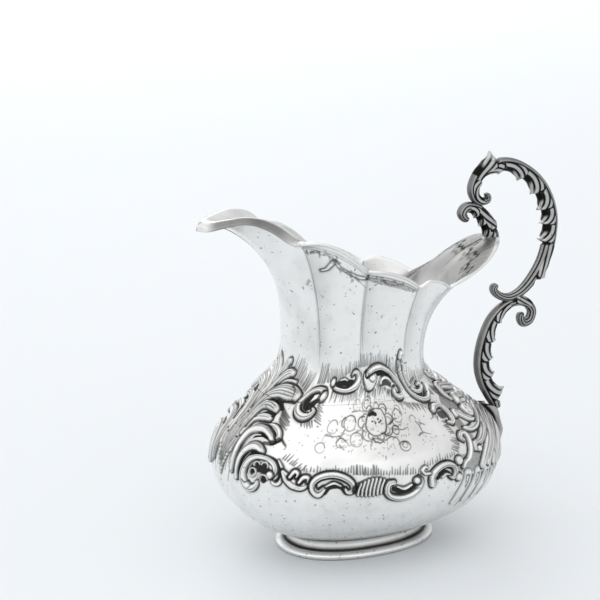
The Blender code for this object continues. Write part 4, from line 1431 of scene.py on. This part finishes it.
@dataclass
class Handle:
    """The cast handle: three scroll bars with leafwork, and the leaf plate on the belly.

    Attributes:
        form: the jug's form.
        finish: the material.
        rim_scroll: the small scroll's centreline, as x, height and half depth of each point.
        upper_scroll: the upper loop's centreline, likewise.
        lower_scroll: the lower loop's centreline, likewise.
        rim_leaves: the small scroll's leaves, as start, end, size and edge of each.
        upper_leaves: the upper loop's leaves, likewise.
        lower_leaves: the lower loop's leaves, likewise.
        half_width: half the bars' width across the mirror plane.
        leaf_span: how far a leaf reaches round the bar, as a share of half a turn.
        leaf_tip: where a leaf's raised tip ends, as a share of its run.
    """

    form: JugForm
    finish: bpy.types.Material
    rim_scroll: tuple = (
        (47.0, 118.6, 1.0), (45.2, 118.8, 1.7), (43.9, 120.8, 2.1), (45.8, 122.9, 2.2), (49.8, 121.9, 2.5),
        (53.0, 119.0, 2.9), (55.4, 115.4, 3.2), (57.0, 111.6, 3.2), (57.6, 108.6, 2.8))
    upper_scroll: tuple = (
        (53.4, 127.3, 0.8), (54.8, 126.6, 1.2), (54.6, 124.9, 1.4), (51.6, 124.8, 1.9), (49.0, 127.0, 2.3),
        (48.6, 131.0, 2.5), (51.9, 135.9, 2.7), (58.6, 138.0, 2.8), (65.2, 137.4, 2.9), (72.0, 133.9, 3.1),
        (77.3, 129.0, 3.3), (81.1, 122.6, 3.5), (83.0, 116.0, 3.5), (83.0, 110.0, 3.4), (81.9, 103.5, 3.2),
        (79.2, 97.5, 2.8), (74.8, 91.6, 2.5), (70.2, 87.8, 2.1), (65.4, 86.3, 1.8), (61.6, 87.2, 1.7),
        (59.0, 89.2, 1.7), (58.7, 91.0, 1.5), (60.6, 91.2, 1.2))
    lower_scroll: tuple = (
        (72.2, 79.6, 1.2), (71.0, 77.9, 1.7), (72.2, 75.6, 2.0), (75.0, 76.4, 2.0), (76.0, 80.0, 2.0),
        (73.4, 83.3, 2.0), (68.4, 84.3, 2.0), (63.4, 82.6, 2.4), (58.8, 78.4, 2.9), (56.0, 72.6, 3.3),
        (54.4, 66.0, 3.6), (54.2, 60.0, 3.6), (55.6, 54.4, 3.4), (58.2, 49.4, 3.2), (60.2, 45.6, 2.7),
        (61.4, 42.0, 2.1))
    rim_leaves: tuple = (
        (0.30, 0.50, 0.6, INNER), (0.48, 0.70, 0.8, INNER), (0.66, 0.93, 0.9, INNER),
        (0.45, 0.8, 0.5, OUTER))
    upper_leaves: tuple = (
        (0.05, 0.15, 0.7, INNER), (0.15, 0.26, 0.8, INNER), (0.155, 0.232, 2.2, OUTER),
        (0.27, 0.36, 1.2, INNER), (0.36, 0.45, 1.3, INNER), (0.46, 0.525, 1.4, INNER),
        (0.53, 0.585, 1.4, INNER), (0.59, 0.65, 1.5, INNER), (0.66, 0.775, 1.5, OUTER))
    lower_leaves: tuple = (
        (0.20, 0.30, 1.6, OUTER), (0.34, 0.46, 1.1, INNER), (0.47, 0.58, 1.2, INNER),
        (0.59, 0.69, 1.3, INNER), (0.70, 0.80, 1.4, INNER), (0.80, 0.93, 2.2, INNER))
    half_width: float = 2.8
    leaf_span: float = 0.62
    leaf_tip: float = 1.06

    def raise_leaves(self, leaves: Sequence[tuple], to_edge: Array, upward: Array, lift: Array,
                     shade: Array) -> tuple[Array, Array]:
        """Raise the curled leaves on a bar.

        Args:
            leaves: start and end of each leaf along the bar, from 0 to 1, its size and its edge.
            to_edge: turn from the leafy edge at each place, 0 there and 1 at the spine.
            upward: place along the bar, from 0 to 1.
            lift: how far the bar is raised without leaves.
            shade: its darkness without leaves.

        Returns:
            The lift and the darkness with leaves.
        """
        span, tip = self.leaf_span, self.leaf_tip
        for start, end, size, edge in leaves:
            reach = to_edge if edge is INNER else 1 - to_edge
            part = (upward - start) / (end - start)
            inside = (part > 0) & (part < tip) & (reach < span)
            bend = reach / span + 0.55 * np.clip(part, 0, tip) ** 2.2
            wave = 0.5 + 0.5 * np.cos(math.tau * 2.5 * bend)
            fall = np.clip((tip - part) / 0.14, 0, 1) ** 0.5
            swell = np.clip(part, 0, 1) ** 0.8 * fall * np.clip(1 - reach / span, 0, 1) ** 0.5
            curl = np.exp(-((part - 0.88) / 0.09) ** 2 - (reach / 0.16) ** 2)
            raised = size * (swell * (0.62 + 0.38 * wave) + 0.75 * curl)
            hollow = (1 - smooth_step(part, 0.3, 0.6)) * (1 - smooth_step(reach, 0.3, 0.48))
            raised = raised * (1 - 0.7 * hollow)
            leafy = np.maximum(0.16 + 0.84 * smooth_step(1 - wave, 0.4, 0.85), hollow)
            shade = np.where(inside, np.clip(leafy - curl, 0.05, 1), shade)
            shade = np.where(inside & (part > 0.98), 1.0, shade)
            lift = np.where(inside, raised, lift)
            after = np.exp(-((part - 1.12) / 0.08) ** 2) * (reach < 0.45)
            lift = lift - 0.55 * size * after
            shade = np.maximum(shade, after)
        return lift, shade

    def bar(self, node: str, centreline: Sequence[tuple[float, float, float]], leaves: Sequence[tuple],
            inner: int, rows: int) -> bpy.types.Object:
        """Sweep one bar and raise its leafwork.

        Args:
            node: the frame's node, whose name the piece takes.
            centreline: x, height and half depth of each point in the mirror plane.
            leaves: start and end of each leaf along the bar, from 0 to 1, its size and its edge.
            inner: +1 when the leafy edge lies to the left of the run, -1 when it lies to the right.
            rows: faces along the bar.

        Returns:
            The bar, dressed.
        """
        steps, around = 900, 96
        line = smooth_curve(centreline, steps)
        run = np.r_[0, np.cumsum(np.hypot(np.diff(line[:, 0]), np.diff(line[:, 1])))]
        total = run[-1]
        even = np.linspace(0, total, steps + 1)
        line = np.stack([np.interp(even, run, values) for values in line.T], -1)
        tangent = unit(np.gradient(line[:, :2], axis=0))
        normal = np.stack([-tangent[:, 1], tangent[:, 0]], -1) * inner
        place = np.linspace(0, 1, steps + 1)

        def mapping(across: Array, upward: Array) -> tuple[Array, Array]:
            """Place on the bar; turn 0 faces the leafy edge, half a turn the smooth spine.

            Args:
                across: places round the bar, from 0 to 1.
                upward: places along it, from 0 to 1.

            Returns:
                The points and the darkness there.
            """
            turn = across * math.tau
            x, z, depth = (np.interp(upward, place, values) for values in line.T)
            nx, nz = (np.interp(upward, place, values) for values in normal.T)
            ends = np.sqrt(np.clip(np.minimum(upward, 1 - upward) * total / 1.2, 0, 1))
            to_edge = off_zero(turn) / math.pi
            lines = 0.5 + 0.5 * np.cos(math.tau * 4.6 * (to_edge + 0.12))
            shade = 0.4 + 0.6 * smooth_step(1 - lines, 0.4, 0.9)
            plain = smooth_step(to_edge, 0.72, 0.8)
            shade = shade * (1 - plain) + 0.62 * plain
            lift = -0.22 * (1 - lines) * (1 - plain)
            lift, shade = self.raise_leaves(leaves, to_edge, upward, lift, shade)
            in_plane = (depth * 0.9 + lift * np.abs(np.cos(turn)) ** 0.5) * np.cos(turn) * ends
            out_plane = (self.half_width * 0.85 + 0.6 * lift) * np.sin(turn) * ends
            out_plane = out_plane * (0.62 + 0.38 * np.clip(depth / 2.6, 0, 1.1))
            return np.stack([x + nx * in_plane, out_plane, z + nz * in_plane], -1), np.clip(shade, 0, 1)

        piece = mapped_surface(node, around, rows, mapping, inward=inner > 0)
        return dress(piece, self.finish, node)

    def build(self) -> list[bpy.types.Object]:
        """Build the three bars."""
        return [self.bar("handle_rim_scroll", self.rim_scroll, self.rim_leaves, -1, 200),
                self.bar("handle_upper_scroll", self.upper_scroll, self.upper_leaves, -1, 420),
                self.bar("handle_lower_scroll", self.lower_scroll, self.lower_leaves, 1, 340)]

    def plate(self) -> bpy.types.Object:
        """Build the leaf plate that carries the handle on the belly."""
        form, bottom, length, half_width = self.form, 19, 31, 9.6

        def mapping(across: Array, upward: Array) -> tuple[Array, Array]:
            """Place on the plate's outer face; the rim tucks into the belly.

            Args:
                across: places across the plate, from 0 to 1.
                upward: places up it, from 0 to 1.

            Returns:
                The points and the darkness there.
            """
            spread = (across - 0.5) * 2
            climb = bottom + length * upward
            outline = np.clip(np.sin(math.pi * (0.03 + 0.93 * upward) ** 0.8), 0, 1) ** 0.5
            half = half_width * outline * (1 - 0.1 * np.abs(np.sin(upward * 14)))
            along = form.half_girth - np.abs(spread) * half
            base = form.bowl(along, climb, Side.FAR)
            base[:, 1] = np.abs(base[:, 1]) * np.sign(spread)
            edge = np.clip(np.minimum((1 - np.abs(spread)) * 6, np.minimum(upward, 1 - upward) * 16), 0, 1)
            dome = np.sin(edge * math.pi / 2)
            rim = np.exp(-((np.abs(spread) - 0.82) / 0.11) ** 2)
            veins = 0.5 + 0.5 * np.cos(np.abs(spread) * 15 + upward * 20)
            rib = np.exp(-(spread / 0.14) ** 2)
            body = 2.6 + 2.6 * smooth_step(upward, 0.45, 0.95)
            height = dome * (body * (0.62 + 0.38 * rim + 0.12 * veins) + 1.0 * rib) - 0.4
            radial = unit(base * (1, 1, 0) + (0.0, 0.0, 1e-6))
            shade = np.clip(1.0 - 0.72 * np.maximum(rim, rib) - 0.3 * veins, 0.3, 1)
            return base + radial * height[:, None], np.where(edge < 0.5, 1.0, shade)

        piece = mapped_surface("handle_belly_leaf", 90, 120, mapping)
        return dress(piece, self.finish, "handle_belly_leaf")


# ------------------------------------------------------------------ studio

@dataclass
class Studio:
    """Pale floor, soft light and the camera.

    Attributes:
        eye: the camera's place, in metres.
        yaw: the camera's turn about the upright, in degrees.
        pitch: how far it looks down, in degrees.
        lens: its focal length, in millimetres.
        floor_half: half the floor's side, in metres.
        floor_colour: the floor's colour.
        brightness: strength of the surroundings.
        surroundings: grey levels of the surroundings, from straight down (0) to straight up (1).
        tint: the surroundings' colour.
        lamps: each lamp's name, place, target, side and power.
    """

    eye: tuple[float, float, float] = (-0.2943, -0.5434, 0.2492)
    yaw: float = -25.49
    pitch: float = 14.38
    lens: float = 103.65
    floor_half: float = 4.0
    floor_colour: tuple[float, float, float] = (0.80, 0.825, 0.85)
    brightness: float = 1.6
    surroundings: tuple = ((0.0, 0.80), (0.46, 0.66), (0.54, 0.6), (0.64, 0.76), (0.8, 0.66), (1.0, 0.84))
    tint: tuple[float, float, float] = (0.985, 0.995, 1.0)
    lamps: tuple = (
        ("window", (-1.2, -0.9, 1.3), (0, 0, 0.06), 1.4, 1.2),
        ("far_floor", (0.7, 2.6, 1.6), (0.8, 2.4, 0.0), 1.6, 11.0))

    def floor(self) -> None:
        """Lay the flat pale floor."""
        builder = bmesh.new()
        bmesh.ops.create_grid(builder, x_segments=1, y_segments=1, size=self.floor_half)
        floor = finish_mesh("floor", builder)
        material = bpy.data.materials.new("pale_floor")
        material.use_nodes = True
        shader = material.node_tree.nodes["Principled BSDF"]
        shader.inputs["Base Color"].default_value = (*self.floor_colour, 1.0)
        shader.inputs["Roughness"].default_value = 0.6
        floor.data.materials.append(material)

    def surround(self) -> None:
        """Bright soft surroundings, uneven as a room is and dimmer on the handle's side."""
        world = bpy.data.worlds.new("studio")
        bpy.context.scene.world = world
        world.use_nodes = True
        wiring = Wiring(world.node_tree)
        background = world.node_tree.nodes["Background"]
        place = wiring.node("TexCoord").outputs["Generated"]
        split = wiring.node("SeparateXYZ")
        wiring.link(place, split.inputs["Vector"])
        ramp = wiring.node("ValToRGB")
        elements = ramp.color_ramp.elements
        for index, (position, level) in enumerate(self.surroundings):
            element = elements[index] if index < 2 else elements.new(position)
            element.position = position
            element.color = (*(level * part for part in self.tint), 1.0)
        wiring.link(wiring.levels(split.outputs["Z"], {"From Min": -1.0}), ramp.inputs["Fac"])
        uneven = wiring.levels(wiring.noise(place, 2.6, 1.0),
                               {"From Min": 0.35, "From Max": 0.65, "To Min": 0.8, "To Max": 1.1})
        shadow_side = wiring.levels(split.outputs["X"],
                                    {"From Min": 0.1, "From Max": 0.9, "To Min": 1.0, "To Max": 0.72})
        level = wiring.combine("MULTIPLY", uneven, shadow_side, clamp=False)
        dimmed = wiring.node("Mix", {"Factor": 1.0}, data_type="RGBA", blend_type="MULTIPLY")
        wiring.link(ramp.outputs["Color"], dimmed.inputs["A"])
        wiring.link(level, dimmed.inputs["B"])
        wiring.link(dimmed.outputs["Result"], background.inputs["Color"])
        background.inputs["Strength"].default_value = self.brightness
        bpy.context.scene.view_settings.view_transform = "Standard"

    def lights(self) -> None:
        """A weak window to the left and a lamp that lifts the far floor."""
        for name, place, target, size, power in self.lamps:
            data = bpy.data.lights.new(name, "AREA")
            data.shape = "SQUARE"
            data.size = size
            data.energy = power
            lamp = bpy.data.objects.new(name, data)
            bpy.context.scene.collection.objects.link(lamp)
            lamp.location = place
            aim = Vector(target) - Vector(place)
            lamp.rotation_euler = aim.to_track_quat("-Z", "Y").to_euler()

    def camera(self) -> None:
        """Set the camera to the left of the jug's side, a little above it."""
        data = bpy.data.cameras.new("camera")
        data.lens = self.lens
        data.sensor_width = 36.0
        data.clip_end = 20.0
        camera = bpy.data.objects.new("camera", data)
        bpy.context.scene.collection.objects.link(camera)
        camera.location = self.eye
        camera.rotation_euler = (math.radians(90 - self.pitch), 0.0, math.radians(self.yaw))
        bpy.context.scene.camera = camera


def main() -> None:
    """Build every piece in order and report it."""
    logging.basicConfig(level=logging.INFO, format="%(name)s %(message)s")
    silver = Silver("chased_silver").build()
    inside = Silver("inside_silver", polish=0.26, tarnish=0.2, pits=0.2).build()
    cast = Silver("cast_silver", bright=(0.6, 0.6, 0.59), dark=(0.012, 0.012, 0.011), polish=0.28).build()
    form = JugForm()
    chasing = BellyChasing(form.half_girth)
    bowl = Bowl(form, chasing, silver, inside)
    neck = Neck(form, chasing, silver, inside)
    handle = Handle(form, cast)
    pieces = []
    for side in Side:
        pieces += [bowl.outside(side, True), bowl.outside(side, False), neck.outside(side)]
    pieces += [bowl.inside(), neck.inside(), neck.rim_wire()]
    pieces += [*Foot(silver).build(), *handle.build(), handle.plate()]
    for piece in pieces:
        LOG.info("%s: %d faces", piece.name, len(piece.data.polygons))
    studio = Studio()
    studio.floor()
    studio.surround()
    studio.lights()
    studio.camera()


if __name__ == "__main__":
    main()
